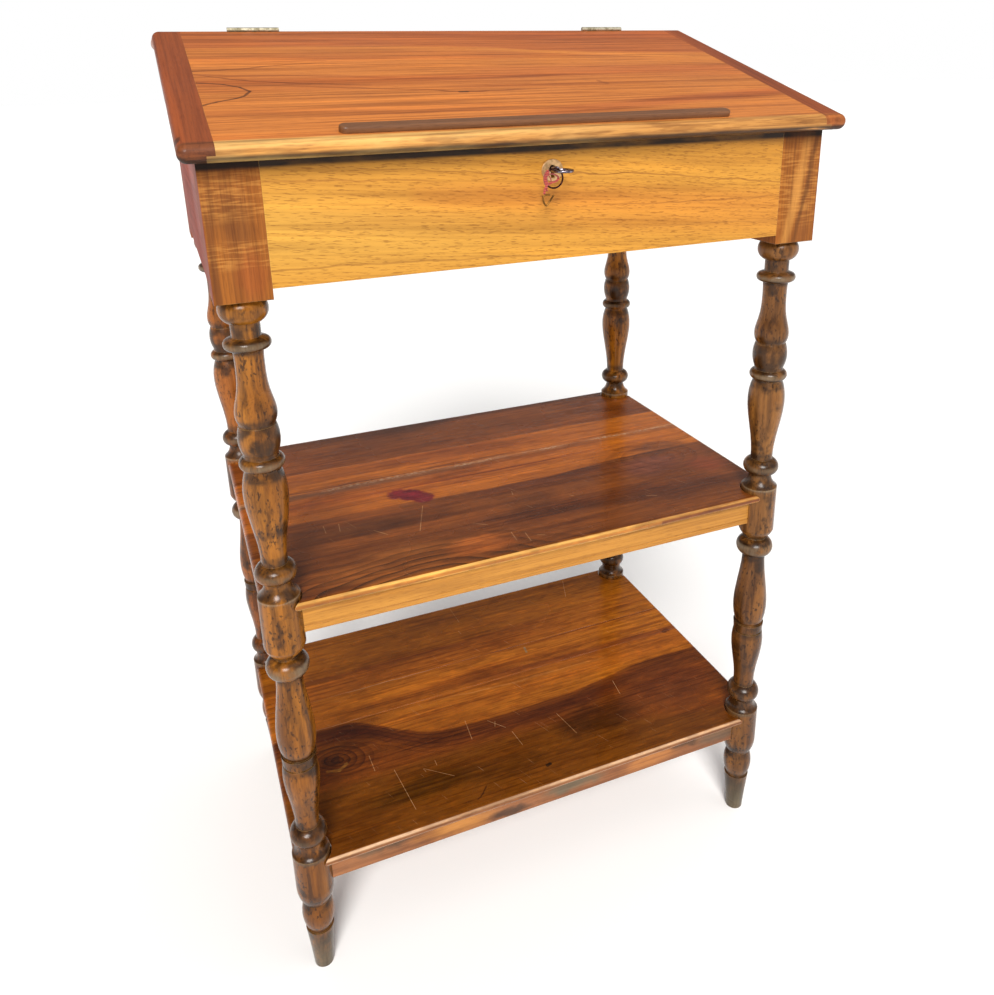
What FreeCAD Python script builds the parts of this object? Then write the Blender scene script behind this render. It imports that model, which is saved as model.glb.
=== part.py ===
import FreeCAD, Part
import math
import os

# Clerk's standing desk on four turned legs, with two shelves and a sloping lid.
# Millimetres. X runs to the right, Y to the back and Z up; the desk stands on Z = 0.
# It is drawn about the middle of the four legs and moved to the middle of its
# footprint when the pieces are written.

# ---- overall sizes ---------------------------------------------------------------
leg_x = 332.0              # leg axis from the middle, left and right
leg_y = 210.0              # leg axis from the middle, front and back
case_h = 264.4             # lower end of the posts to the flat top board
slope_deg = 17.1           # fall of the lid towards the writer
fit = 0.1                  # clearance round a glued tenon, a leaf or a lap
tiny = 1e-6                # lengths below this count as nothing

# ---- posts and panels of the desk case -------------------------------------------
post = 57.0                # square head of each leg
panel_rise = 11.0          # panel's lower edge above the post's lower end
front_panel_t = 20.0
panel_t = 18.0
tenon_len = 14.0
tenon_t = 8.0
tenon_shoulder = 6.0       # tenon stands back from the top and bottom edges
tenon_root = 1.0           # tenon runs this far into its own board
lid_gap = 0.3              # air between the closed lid and the case

# ---- case bottom -----------------------------------------------------------------
cleat = 18.0               # square cleats that carry the bottom boards
cleat_rise = 2.0           # above the panels' lower edge
bottom_t = 11.0
bottom_play = 0.5          # boards are loose by this much at the walls
bottom_boards = 3

# ---- flat top board and lid ------------------------------------------------------
board_t = 18.0             # lid and top board
side_overhang = 15.1       # lid beyond the posts, left and right
back_overhang = 10.0
flat_depth = 146.5         # hinge joint to the back edge of the top board
lid_run = 386.0            # lid from the hinge joint to its nose, along the slope
hinge_gap = 0.8            # between the lid's back edge and the top board
nose_r = 8.6               # half-round edge
corner_r = 9.0             # lid corners in plan
hinge_rail_h = 42.0
end_board_w = 33.0         # breadboard ends
lap = 8.0                  # lower half of the field laps under the end board
back_board_w = 64.0        # lid planks, from the hinge joint forward
middle_board_w = 186.0

# ---- pen ledge -------------------------------------------------------------------
ledge_left = -227.0
ledge_right = 218.0
ledge_w = 15.0
ledge_h = 6.5
ledge_back = 15.7          # ledge stands back from the nose
ledge_round = 2.4

# ---- butt hinges -----------------------------------------------------------------
hinge_left_x = -255.5
hinge_right_x = 238.0
hinge_len = 63.5
knuckle_r = 3.0
knuckle_count = 5
knuckle_gap = 0.3
pin_r = 1.2
pin_fit = 0.05
pin_height = 1.6           # pin above the boards' top face
leaf_w = 16.0
leaf_t = 1.5
leaf_screw_drop = 8.8      # screws below the boards' top face
knuckle_room = 0.5         # wood cut back round the knuckles
screw_r = 1.7
screw_head_r = 3.2
screw_len = 14.0
screw_fit = 0.05
hinge_screw_pitch = 24.0

# ---- lock, key and what hangs on it ----------------------------------------------
key_drop = 31.0            # key axis below the front panel's top edge
plate_half_w = 12.6        # escutcheon
plate_half_h = 11.6
plate_t = 1.2
plate_lift = 1.4           # plate's middle above the key axis is minus this
keyhole_r = 3.9
keyhole_slot_w = 4.2
keyhole_slot_drop = 9.6
plate_pin_r = 0.6
plate_pin_head_r = 1.1
plate_pin_len = 6.0
plate_pin_x = 9.2
lock_w = 46.0
lock_top = 23.0            # lock box above the key axis
lock_drop = 14.0           # lock box below the key axis
lock_depth = 11.0          # how deep it is let into the panel
lock_wall = 1.4
lock_flange = 7.0          # back plate beyond the box, left, right and below
lock_screw_up = 12.0       # screws above and below the key axis
lock_screw_down = 7.0
drill_pin_r = 1.5
selvage_w = 64.0
selvage_d = 12.0
selvage_t = 2.0
bolt_w = 18.0
bolt_t = 5.0
bolt_tail_t = 2.4
bolt_tail_w = 26.0
bolt_lap = 1.1             # bolt's head laps its tail in thickness
bolt_gap = 0.7             # tail to the lock's back plate
bolt_throw = 8.0
bolt_play = 0.6
strike_w = 44.0
strike_d = 19.0
strike_t = 1.5
strike_depth = 13.5        # hollow above the strike's lower face
hollow_play = 1.8          # hollow round the raised bolt
small_screw_r = 1.3
small_screw_head_r = 2.5
small_screw_len = 9.0
stem_r = 2.6
stem_out = 14.0            # stem in front of the panel
stem_end_gap = 0.6
collar_r = 3.4
collar_len = 3.0
bit_reach = 8.6
bit_t = 3.6
bit_h = 2.4
bow_half_w = 9.8           # to the middle of the bow's bar
bow_straight = 4.0
bow_bar_r = 1.5
ring_r = 10.0
ring_wire_r = 0.95
ring_play = 0.3
tie_r = 1.5
tie_top_r = 2.3
tie_knot_r = 2.9
tie_angle = 20.0           # knot on the ring, below the ring's left side
tie_lean = 0.25            # tail leans right by this much a millimetre of fall
tie_tail = 12.5
loop_wire_r = 0.5
loop_w = 13.0
loop_h = 11.5
loop_gap = 0.4             # loop below the tie's tail

# ---- shelves and their rails -----------------------------------------------------
shelf_t = 11.0
shelf_nose_r = 5.2
shelf_half_x = 353.5
shelf_half_y = 231.5
scribe_gap = 1.5           # shelf corner round the leg
rim_above_shelf = 6.7      # block's upper rim above the shelf's top face
rail_t = 18.0
upper_rail_h = 35.5
lower_rail_h = 33.0
bead_line_r = 0.9          # scratched line along the upper front rail
bead_line_up = 7.0
upper_shelf_seams = (41.5, 107.5)
lower_shelf_seams = (5.5, 72.5)

# ---- turned legs, from the floor up: (radius, rise above the member's foot) ------
foot_r = 12.8
foot = ((15.7, 39.0), (18.2, 66.0))
foot_groove = (16.4, 4.0)
ball = (20.8, 17.0, 41.5)              # fullest radius, radius at its top, rise
lower_shoulder = (22.2, 24.0, 24.5)    # radius half-way, radius at its top, rise
lower_block_h = 58.0
lower_cove = (18.4, 17.5, 13.0)
lower_neck_h = 5.0
low_bead = (23.5, 15.0, 26.0)
low_vase = ((15.2, 18.0), (19.0, 47.0), (22.4, 82.0), (20.8, 96.3))
waist_groove = (19.4, 2.0)
waist = (20.6, 21.5, 13.0)             # lower radius, upper radius, rise
middle_vase = ((23.6, 27.0), (21.6, 55.0), (17.7, 84.0), (15.7, 113.0))
middle_bead = (25.3, 14.5, 26.5)
middle_neck_h = 2.0
upper_shoulder = (20.9, 24.2, 14.0)
upper_block_h = 67.0
upper_cove = (17.4, 15.0, 16.0)
upper_neck_h = 2.5
upper_bead = (23.8, 14.7, 22.5)
urn = ((14.9, 12.0), (21.2, 57.5), (24.3, 89.0), (19.5, 115.5))
urn_neck_h = 2.0
flange = (24.4, 18.9, 13.5)
flange_fillet_h = 4.0
bulb = (22.4, 19.8, 32.5)
bulb_groove = (19.2, 1.8)
top_vase = ((21.9, 8.0), (17.5, 35.0), (15.3, 59.0), (16.0, 81.0))
knife_ring = (24.5, 20.2, 15.2, 14.5)  # edge radius, shoulder radius, neck radius, rise
knife_shoulder_h = 1.6
top_neck_h = 16.0
collar_foot_r = 18.0
collar = (25.5, 21.0, 24.0)
post_fillet_h = 1.0

def box(x0, x1, y0, y1, z0, z1):
    return Part.makeBox(x1 - x0, y1 - y0, z1 - z0, FreeCAD.Vector(x0, y0, z0))


def rod(radius, length, x, y, z, axis=(0, 0, 1)):
    return Part.makeCylinder(radius, length, FreeCAD.Vector(x, y, z), FreeCAD.Vector(*axis))


def fused(shapes):
    whole = shapes[0]
    for shape in shapes[1:]:
        whole = whole.fuse(shape)
    return whole.removeSplitter()


# ---- turned legs -----------------------------------------------------------------
class Outline:
    """Half outline of a turned leg, drawn upward; heights add up as members follow."""

    def __init__(self, radius):
        self.at = FreeCAD.Vector(radius, 0, 0)
        self.edges = [Part.makeLine(FreeCAD.Vector(0, 0, 0), self.at)]

    def point(self, radius, rise):
        return FreeCAD.Vector(radius, 0, self.at.z + rise)

    def line(self, radius, rise):
        end = self.point(radius, rise)
        if end.distanceToPoint(self.at) > tiny:
            self.edges.append(Part.makeLine(self.at, end))
            self.at = end

    def arc(self, half_way_r, radius, rise):
        """Hollow or round member through the radius at half its height."""
        end = self.point(radius, rise)
        self.edges.append(Part.Arc(self.at, self.point(half_way_r, rise / 2), end).toShape())
        self.at = end

    def curve(self, stations):
        points = [self.at] + [self.point(radius, rise) for radius, rise in stations]
        spline = Part.BSplineCurve()
        spline.interpolate(points)
        self.edges.append(spline.toShape())
        self.at = points[-1]

    def groove(self, radius, rise):
        self.line(radius, 0)
        self.line(radius, rise)

    def turned(self):
        self.edges.append(Part.makeLine(self.at, FreeCAD.Vector(0, 0, self.at.z)))
        self.edges.append(Part.makeLine(FreeCAD.Vector(0, 0, self.at.z), FreeCAD.Vector(0, 0, 0)))
        face = Part.Face(Part.Wire(self.edges))
        return face.revolve(FreeCAD.Vector(0, 0, 0), FreeCAD.Vector(0, 0, 1), 360)


def lower_leg(outline):
    """Foot, ball, lower block and the bead above it; returns the block's rim height."""
    outline.curve(foot)
    outline.groove(*foot_groove)
    outline.line(ball[1], 0)
    outline.arc(*ball)
    outline.arc(*lower_shoulder)
    outline.line(lower_shoulder[1], lower_block_h)
    rim = outline.at.z
    outline.arc(*lower_cove)
    outline.line(lower_cove[1], lower_neck_h)
    outline.arc(*low_bead)
    return rim


def middle_leg(outline):
    """Two vases foot to foot with a waist band, then a bead and the upper block."""
    outline.curve(low_vase)
    outline.groove(*waist_groove)
    outline.line(waist[0], 0)
    outline.line(waist[1], waist[2])
    outline.groove(*waist_groove)
    outline.curve(middle_vase)
    outline.arc(*middle_bead)
    outline.line(middle_bead[1], middle_neck_h)
    outline.arc(*upper_shoulder)
    outline.line(upper_shoulder[1], upper_block_h)
    rim = outline.at.z
    outline.arc(*upper_cove)
    return rim


def upper_leg(outline):
    """Bead, urn, flange, bulb, slim vase, knife ring and the collar under the post."""
    outline.line(upper_cove[1], upper_neck_h)
    outline.arc(*upper_bead)
    outline.curve(urn)
    outline.line(urn[-1][0], urn_neck_h)
    outline.arc(*flange)
    outline.line(flange[1], flange_fillet_h)
    outline.arc(*bulb)
    outline.groove(*bulb_groove)
    outline.curve(top_vase)
    edge_r, shoulder_r, neck_r, rise = knife_ring
    outline.line(shoulder_r, knife_shoulder_h)
    outline.arc(edge_r, shoulder_r, rise - 2 * knife_shoulder_h)
    outline.line(neck_r, knife_shoulder_h)
    outline.line(neck_r, top_neck_h)
    outline.line(collar_foot_r, 0)
    outline.arc(*collar)
    outline.line(collar[1], post_fillet_h)


def leg_turning():
    outline = Outline(foot_r)
    lower_rim = lower_leg(outline)
    upper_rim = middle_leg(outline)
    upper_leg(outline)
    return outline.turned(), lower_rim, upper_rim, outline.at.z


turning, lower_rim_z, upper_rim_z, post_z = leg_turning()


# ---- worked out from the sizes above ---------------------------------------------
slope = math.radians(slope_deg)
half = post / 2
face_x = leg_x + half
face_y = leg_y + half
top_half_x = face_x + side_overhang
top_back = face_y + back_overhang
joint_y = top_back - flat_depth
desk_height = post_z + case_h
board_under = desk_height - board_t
panel_z = post_z + panel_rise
upper_shelf_z = upper_rim_z - rim_above_shelf
lower_shelf_z = lower_rim_z - rim_above_shelf
block_r = upper_shoulder[1]
lower_block_r = lower_shoulder[1]


def under_lid(y):
    """Height of the closed lid's lower face at depth y."""
    return desk_height + (y - joint_y) * math.tan(slope) - board_t / math.cos(slope)


def on_slope(shape):
    """From the flat drawing of the lid, joint at Y = 0 and top at Z = 0, to its place."""
    placed = shape.copy()
    placed.rotate(FreeCAD.Vector(0, 0, 0), FreeCAD.Vector(1, 0, 0), slope_deg)
    placed.translate(FreeCAD.Vector(0, joint_y, desk_height))
    return placed


# ---- tenoned boards: each is (board, its tenons), before the two are joined --------
def tenon_spans(reach):
    """Where the two tenons of a board run whose shoulders are at -reach and +reach."""
    return ((-reach - tenon_len, -reach + tenon_root), (reach - tenon_root, reach + tenon_len))


def tenon_pair_x(y0, y1, z0, z1, reach):
    """Tenons left and right of a board that runs in X."""
    y = (y0 + y1) / 2
    return [box(lo, hi, y - tenon_t / 2, y + tenon_t / 2, z0 + tenon_shoulder, z1 - tenon_shoulder)
            for lo, hi in tenon_spans(reach)]


def tenon_pair_y(x0, x1, z0, z1, reach):
    """Tenons front and back of a board that runs in Y."""
    x = (x0 + x1) / 2
    return [box(x - tenon_t / 2, x + tenon_t / 2, lo, hi, z0 + tenon_shoulder, z1 - tenon_shoulder)
            for lo, hi in tenon_spans(reach)]


def under_slope(shape):
    """Cut a case part back to the plane just below the closed lid."""
    span = 2 * top_half_x
    lid_room = box(-span, span, -2 * lid_run, 0, -board_t - lid_gap, 2 * lid_run)
    return shape.cut(on_slope(lid_room))


def front_panel():
    top = under_lid(-face_y + front_panel_t)
    y0, y1 = -face_y, -face_y + front_panel_t
    board = box(-leg_x + half, leg_x - half, y0, y1, panel_z, top)
    tenon_top = under_lid(y0) - lid_gap
    tenons = tenon_pair_x(y0, y1, panel_z, tenon_top, leg_x - half)
    return under_slope(board), tenons


def back_panel():
    y0, y1 = face_y - panel_t, face_y
    board = box(-leg_x + half, leg_x - half, y0, y1, panel_z, board_under)
    return board, tenon_pair_x(y0, y1, panel_z, board_under, leg_x - half)


def side_panel(sign):
    inner, outer = face_x - panel_t, face_x
    x0, x1 = (inner, outer) if sign > 0 else (-outer, -inner)
    reach = leg_y - half
    board = under_slope(box(x0, x1, -reach, reach, panel_z, board_under))
    low_top = under_lid(-reach - tenon_len) - lid_gap
    tenons = [tenon_pair_y(x0, x1, panel_z, low_top, reach)[0],
              tenon_pair_y(x0, x1, panel_z, board_under, reach)[1]]
    return board, tenons


def rail_x(y_sign, top_z, height, radius):
    """Front or back shelf rail, scribed to the round blocks of the legs."""
    y0, y1 = y_sign * leg_y - rail_t / 2, y_sign * leg_y + rail_t / 2
    board = box(-leg_x, leg_x, y0, y1, top_z - height, top_z)
    for x_sign in (-1, 1):
        board = board.cut(rod(radius + fit, height, x_sign * leg_x, y_sign * leg_y, top_z - height))
    tenons = tenon_pair_x(y0, y1, top_z - height, top_z, leg_x - radius - fit)
    return board, tenons


def rail_y(x_sign, top_z, height, radius):
    """Left or right shelf rail."""
    x0, x1 = x_sign * leg_x - rail_t / 2, x_sign * leg_x + rail_t / 2
    board = box(x0, x1, -leg_y, leg_y, top_z - height, top_z)
    for y_sign in (-1, 1):
        board = board.cut(rod(radius + fit, height, x_sign * leg_x, y_sign * leg_y, top_z - height))
    tenons = tenon_pair_y(x0, x1, top_z - height, top_z, leg_y - radius - fit)
    return board, tenons


def mortise(tenon):
    """Room for a tenon, with the glue clearance on every side."""
    edge = tenon.BoundBox
    return box(edge.XMin - fit, edge.XMax + fit, edge.YMin - fit, edge.YMax + fit,
               edge.ZMin - fit, edge.ZMax + fit)


frame_boards = {
    "front_panel": front_panel(),
    "back_panel": back_panel(),
    "side_panel_left": side_panel(-1),
    "side_panel_right": side_panel(1),
}
for level, shelf_z, height, radius in (("upper", upper_shelf_z, upper_rail_h, block_r),
                                       ("lower", lower_shelf_z, lower_rail_h, lower_block_r)):
    rail_top = shelf_z - shelf_t
    frame_boards[level + "_rail_front"] = rail_x(-1, rail_top, height, radius)
    frame_boards[level + "_rail_back"] = rail_x(1, rail_top, height, radius)
    frame_boards[level + "_rail_left"] = rail_y(-1, rail_top, height, radius)
    frame_boards[level + "_rail_right"] = rail_y(1, rail_top, height, radius)


def leg(x_sign, y_sign):
    """One leg: the turning, its square head, and the mortises for what it carries."""
    x, y = x_sign * leg_x, y_sign * leg_y
    turned = turning.copy()
    turned.translate(FreeCAD.Vector(x, y, 0))
    head = box(x - half, x + half, y - half, y + half, post_z, board_under)
    if y_sign < 0:
        head = under_slope(head)
    whole = turned.fuse(head)
    for board, tenons in frame_boards.values():
        for tenon in tenons:
            if abs(tenon.BoundBox.Center.x - x) < post and abs(tenon.BoundBox.Center.y - y) < post:
                whole = whole.cut(mortise(tenon))
    return whole


# ---- shelves ---------------------------------------------------------------------
def shelf_planks(top_z, seams, radius):
    """A round-edged shelf scribed to the legs, sawn into its planks, back plank last."""
    blank = box(-shelf_half_x, shelf_half_x, -shelf_half_y, shelf_half_y, top_z - shelf_t, top_z)
    blank = half_round(blank, shelf_nose_r, "X").common(half_round(blank, shelf_nose_r, "Y"))
    for x_sign in (-1, 1):
        for y_sign in (-1, 1):
            blank = blank.cut(corner_waste(x_sign, y_sign, top_z, radius + scribe_gap))
    edges = (-shelf_half_y,) + seams + (shelf_half_y,)
    return [blank.common(box(-shelf_half_x, shelf_half_x, lo, hi, top_z - shelf_t, top_z))
            for lo, hi in zip(edges[:-1], edges[1:])]


def corner_waste(x_sign, y_sign, top_z, radius):
    """The round hollow for a leg, with the shelf's corner outside it."""
    z0, z1 = top_z - 2 * shelf_t, top_z + shelf_t
    xs = sorted((x_sign * leg_x, x_sign * 2 * leg_x))
    ys = sorted((y_sign * leg_y, y_sign * 2 * leg_y))
    hollow = rod(radius, z1 - z0, x_sign * leg_x, y_sign * leg_y, z0)
    return hollow.fuse(box(xs[0], xs[1], ys[0], ys[1], z0, z1))


def half_round(board, radius, along):
    """Round the long edges of a flat board that run along X or along Y."""
    chosen = []
    for edge in board.Edges:
        length = edge.BoundBox.XLength if along == "X" else edge.BoundBox.YLength
        if length > 2 * radius:
            chosen.append(edge)
    return board.makeFillet(radius, chosen)


# ---- case bottom -----------------------------------------------------------------
inner_x = face_x - panel_t
inner_front = -face_y + front_panel_t
inner_back = face_y - panel_t
post_in_x = leg_x - half
post_in_y = leg_y - half
cleat_z = panel_z + cleat_rise
bottom_z = cleat_z + cleat


def bottom_cleats():
    """Cleats between the posts, along the foot of each wall."""
    z0, z1 = cleat_z, cleat_z + cleat
    return {
        "bottom_cleat_front": box(-post_in_x, post_in_x, inner_front, inner_front + cleat, z0, z1),
        "bottom_cleat_back": box(-post_in_x, post_in_x, inner_back - cleat, inner_back, z0, z1),
        "bottom_cleat_left": box(-inner_x, -inner_x + cleat, -post_in_y, post_in_y, z0, z1),
        "bottom_cleat_right": box(inner_x - cleat, inner_x, -post_in_y, post_in_y, z0, z1),
    }


def bottom_planks():
    play = bottom_play
    blank = box(-inner_x + play, inner_x - play, inner_front + play, inner_back - play,
                bottom_z, bottom_z + bottom_t)
    for x_sign in (-1, 1):
        for y_sign in (-1, 1):
            x, y = x_sign * leg_x, y_sign * leg_y
            blank = blank.cut(box(x - half - play, x + half + play, y - half - play, y + half + play,
                                  bottom_z, bottom_z + bottom_t))
    step = (inner_back - inner_front) / bottom_boards
    planks = []
    for index in range(bottom_boards):
        y0 = inner_front + index * step
        planks.append(blank.common(box(-inner_x, inner_x, y0, y0 + step,
                                       bottom_z, bottom_z + bottom_t)))
    return planks


# ---- lid and top board, drawn flat ------------------------------------------------
def lid_blank():
    blank = box(-top_half_x, top_half_x, -lid_run, 0, -board_t, 0)
    corners = [edge for edge in blank.Edges
               if edge.BoundBox.ZLength > board_t / 2 and edge.BoundBox.YMax < -lid_run / 2]
    blank = blank.makeFillet(corner_r, corners)
    rounded = [edge for edge in blank.Edges
               if edge.BoundBox.ZLength < tiny and edge.BoundBox.YMin < -tiny]
    return blank.makeFillet(nose_r, rounded)


def field_room(y0, y1):
    """What the field takes of the lid: full thickness inside, a lap under the ends."""
    inside = top_half_x - end_board_w
    return fused([box(-inside, inside, y0, y1, -board_t, 0),
                  box(-inside - lap, inside + lap, y0, y1, -board_t, -board_t / 2)])


def leaf_room(at_x, y0, y1):
    """Bed for a leaf and its knuckles in the edge of a board."""
    long = hinge_len / 2 + fit
    bed = box(at_x - long, at_x + long, y0, y1, -leaf_w - fit, board_t)
    barrel = rod(knuckle_r + knuckle_room, 2 * long, at_x - long, hinge_gap / 2, pin_height, (1, 0, 0))
    return fused([bed, barrel])


def screw_x(at_x):
    return (at_x - hinge_screw_pitch, at_x, at_x + hinge_screw_pitch)


def leaf_screw(x, sign, play=0.0):
    """Countersunk screw that leaves the joint towards sign, its head flush in the leaf."""
    start = FreeCAD.Vector(x, 0.0 if sign < 0 else hinge_gap, -leaf_screw_drop)
    along = FreeCAD.Vector(0, sign, 0)
    head_h = screw_head_r - screw_r
    head = Part.makeCone(screw_head_r + play, screw_r + play, head_h, start, along)
    return head.fuse(Part.makeCylinder(screw_r + play, screw_len + 2 * play, start, along))


def lid_pieces():
    blank = lid_blank()
    for at_x in (hinge_left_x, hinge_right_x):
        blank = blank.cut(leaf_room(at_x, -leaf_t - fit, hinge_gap))
        for x in screw_x(at_x):
            blank = blank.cut(leaf_screw(x, -1, screw_fit))
    blank = blank.cut(strike_room())
    field = blank.common(field_room(-lid_run, 0))
    ends = blank.cut(field_room(-lid_run, 0))
    seam_1, seam_2 = -back_board_w, -back_board_w - middle_board_w
    wide = 2 * top_half_x
    planks = [field.common(box(-wide, wide, lo, hi, -board_t, 0))
              for lo, hi in ((seam_1, 0), (seam_2, seam_1), (-lid_run, seam_2))]
    left = ends.common(box(-wide, 0, -lid_run, 0, -board_t, 0))
    right = ends.common(box(0, wide, -lid_run, 0, -board_t, 0))
    return {
        "lid_board_back": planks[0],
        "lid_board_middle": planks[1],
        "lid_board_front": planks[2],
        "lid_end_left": left,
        "lid_end_right": right,
    }


def pen_ledge():
    """Round-ended strip near the nose that stops a pen."""
    radius = ledge_w / 2
    y = -lid_run + ledge_back + radius
    strip = fused([box(ledge_left + radius, ledge_right - radius, y - radius, y + radius, 0, ledge_h),
                   rod(radius, ledge_h, ledge_left + radius, y, 0),
                   rod(radius, ledge_h, ledge_right - radius, y, 0)])
    top = [edge for edge in strip.Edges if edge.BoundBox.ZMin > ledge_h - tiny]
    return strip.makeFillet(ledge_round, top)


def top_board():
    """Fixed board behind the lid; its front edge leans with the lid's back edge."""
    lean = board_t * math.tan(slope)
    blank = box(-top_half_x, top_half_x, joint_y - lean, top_back, board_under, desk_height)
    corners = [edge for edge in blank.Edges
               if edge.BoundBox.ZLength > board_t / 2 and edge.BoundBox.YMin > joint_y]
    blank = blank.makeFillet(corner_r, corners)
    front = blank.BoundBox.YMin
    rounded = [edge for edge in blank.Edges
               if edge.BoundBox.ZLength < tiny and edge.BoundBox.YMax > front + tiny]
    blank = blank.makeFillet(nose_r, rounded)
    room = box(-top_half_x, top_half_x, -lid_run, hinge_gap, -2 * board_t, board_t)
    blank = blank.cut(on_slope(room))
    for at_x in (hinge_left_x, hinge_right_x):
        blank = blank.cut(on_slope(leaf_room(at_x, 0, hinge_gap + leaf_t + fit)))
        for x in screw_x(at_x):
            blank = blank.cut(on_slope(leaf_screw(x, 1, screw_fit)))
    return blank


def hinge_rail():
    """Cross rail that stiffens the front edge of the top board."""
    y0 = joint_y + board_t * math.tan(slope)
    return box(-inner_x, inner_x, y0, y0 + panel_t, board_under - hinge_rail_h, board_under)


# ---- butt hinges, drawn flat with the lid -----------------------------------------
def knuckles(at_x, first):
    """Every other knuckle of a hinge, from the first given, bored for the pin."""
    step = hinge_len / knuckle_count
    barrels = []
    for index in range(first, knuckle_count, 2):
        x0 = at_x - hinge_len / 2 + index * step + knuckle_gap / 2
        barrels.append((x0, step - knuckle_gap))
    return barrels


def leaf(at_x, sign):
    """Leaf of the lid (sign -1, even knuckles) or of the top board (sign +1)."""
    first = 1 if sign < 0 else 0
    y0, y1 = (-leaf_t, 0) if sign < 0 else (hinge_gap, hinge_gap + leaf_t)
    long = hinge_len / 2
    pin_y = hinge_gap / 2
    plate = box(at_x - long, at_x + long, y0, y1, -leaf_w, -knuckle_r + pin_height - knuckle_gap)
    solids = [plate]
    for x0, length in knuckles(at_x, first):
        solids.append(rod(knuckle_r, length, x0, pin_y, pin_height, (1, 0, 0)))
        solids.append(box(x0, x0 + length, min(y0, y1), max(y0, y1),
                          -knuckle_r + pin_height - 2 * knuckle_gap, pin_height))
    whole = fused(solids)
    whole = whole.cut(rod(pin_r + pin_fit, hinge_len, at_x - long, pin_y, pin_height, (1, 0, 0)))
    for x in screw_x(at_x):
        whole = whole.cut(leaf_screw(x, sign, screw_fit))
    return whole


def hinge_pin(at_x):
    return rod(pin_r, hinge_len, at_x - hinge_len / 2, hinge_gap / 2, pin_height, (1, 0, 0))


# ---- lock in the front panel -------------------------------------------------------
key_z = under_lid(-face_y) - lid_gap - key_drop
lock_back = inner_front
lock_front = inner_front - lock_depth
tail_back = lock_back - bolt_gap
tail_front = tail_back - bolt_tail_t
bolt_mid_y = tail_front + bolt_lap - bolt_t / 2
bolt_top = under_lid(bolt_mid_y - bolt_t / 2) - lid_gap - bolt_play


def oval(half_w, half_h, length, y, z):
    """Oval prism with its axis along Y."""
    ellipse = Part.Ellipse(FreeCAD.Vector(0, 0, 0), max(half_w, half_h), min(half_w, half_h))
    face = Part.Face(Part.Wire(ellipse.toShape()))
    if half_h > half_w:
        face.rotate(FreeCAD.Vector(0, 0, 0), FreeCAD.Vector(0, 0, 1), 90)
    face.rotate(FreeCAD.Vector(0, 0, 0), FreeCAD.Vector(1, 0, 0), 90)
    solid = face.extrude(FreeCAD.Vector(0, -length, 0))
    solid.translate(FreeCAD.Vector(0, y, z))
    return solid


def keyhole(y0, y1):
    """Round hole with a slot below it for the bit."""
    hole = rod(keyhole_r, y1 - y0, 0, y0, key_z, (0, 1, 0))
    slot = box(-keyhole_slot_w / 2, keyhole_slot_w / 2, y0, y1, key_z - keyhole_slot_drop, key_z)
    return hole.fuse(slot)


def plate_pin(sign, radius, head_r):
    x, z = sign * plate_pin_x, key_z - plate_lift
    head = rod(head_r, plate_t / 2, x, -face_y - plate_t - plate_t / 4, z, (0, 1, 0))
    return head.fuse(rod(radius, plate_pin_len, x, -face_y - plate_t, z, (0, 1, 0)))


def escutcheon():
    plate = oval(plate_half_w, plate_half_h, plate_t, -face_y, key_z - plate_lift)
    rim = [edge for edge in plate.Edges if edge.BoundBox.YMax < -face_y - plate_t / 2
           and edge.BoundBox.XLength > plate_half_w]
    plate = plate.makeFillet(plate_t / 2, rim).cut(keyhole(-face_y - 2 * plate_t, -face_y + plate_t))
    for sign in (-1, 1):
        plate = plate.cut(plate_pin(sign, plate_pin_r + screw_fit, plate_pin_head_r + screw_fit))
    return plate


def bolt_way(z0, z1):
    """The room the bolt's head slides in, between two heights."""
    return box(-bolt_w / 2 - bolt_play, bolt_w / 2 + bolt_play, bolt_mid_y - bolt_t / 2 - bolt_play,
               bolt_mid_y + bolt_t / 2 + bolt_play, z0, z1)


def lock_room():
    """What the lock takes of the panel: box, bolt, keyhole and selvage."""
    wide = lock_w / 2 + fit
    bed = box(-wide, wide, lock_front - fit, lock_back, key_z - lock_drop - fit, key_z + lock_top + fit)
    return [bed, bolt_way(key_z, desk_height), keyhole(-face_y - plate_t, lock_back),
            on_slope(selvage_slab(fit))]


def to_lid(y, z):
    """Depth and height on the lid's flat drawing of a point in the standing desk."""
    dy, dz = y - joint_y, z - desk_height
    return (dy * math.cos(slope) + dz * math.sin(slope),
            -dy * math.sin(slope) + dz * math.cos(slope))


def selvage_slab(play):
    middle = to_lid(bolt_mid_y, under_lid(bolt_mid_y))[0]
    return box(-selvage_w / 2 - play, selvage_w / 2 + play, middle - selvage_d / 2 - play,
               middle + selvage_d / 2 + play, -board_t - lid_gap - selvage_t - play, -board_t - lid_gap)


def lock_selvage():
    """Plate let into the panel's top edge, slotted for the bolt."""
    return on_slope(selvage_slab(0)).cut(bolt_way(key_z, desk_height))


def lock_case():
    """Box with a drill pin for the key, on a back plate that is screwed to the panel."""
    z0, z1 = key_z - lock_drop, key_z + lock_top
    outer = box(-lock_w / 2, lock_w / 2, lock_front, lock_back, z0, z1)
    hollow = box(-lock_w / 2 + lock_wall, lock_w / 2 - lock_wall, lock_front + lock_wall, lock_back,
                 z0 + lock_wall, z1 - lock_wall)
    plate = box(-lock_w / 2 - lock_flange, lock_w / 2 + lock_flange, lock_back, lock_back + lock_wall,
                z0 - lock_flange, z1)
    pin = rod(drill_pin_r, lock_depth + stem_r, 0, lock_back - lock_depth - stem_r, key_z, (0, 1, 0))
    shell = outer.cut(hollow).cut(keyhole(lock_front, lock_front + lock_wall))
    whole = fused([shell.cut(bolt_way(z1 - 2 * lock_wall, z1)), plate, pin])
    for x, z in lock_screw_places():
        whole = whole.cut(panel_screw(x, z, screw_fit))
    return whole


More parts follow.
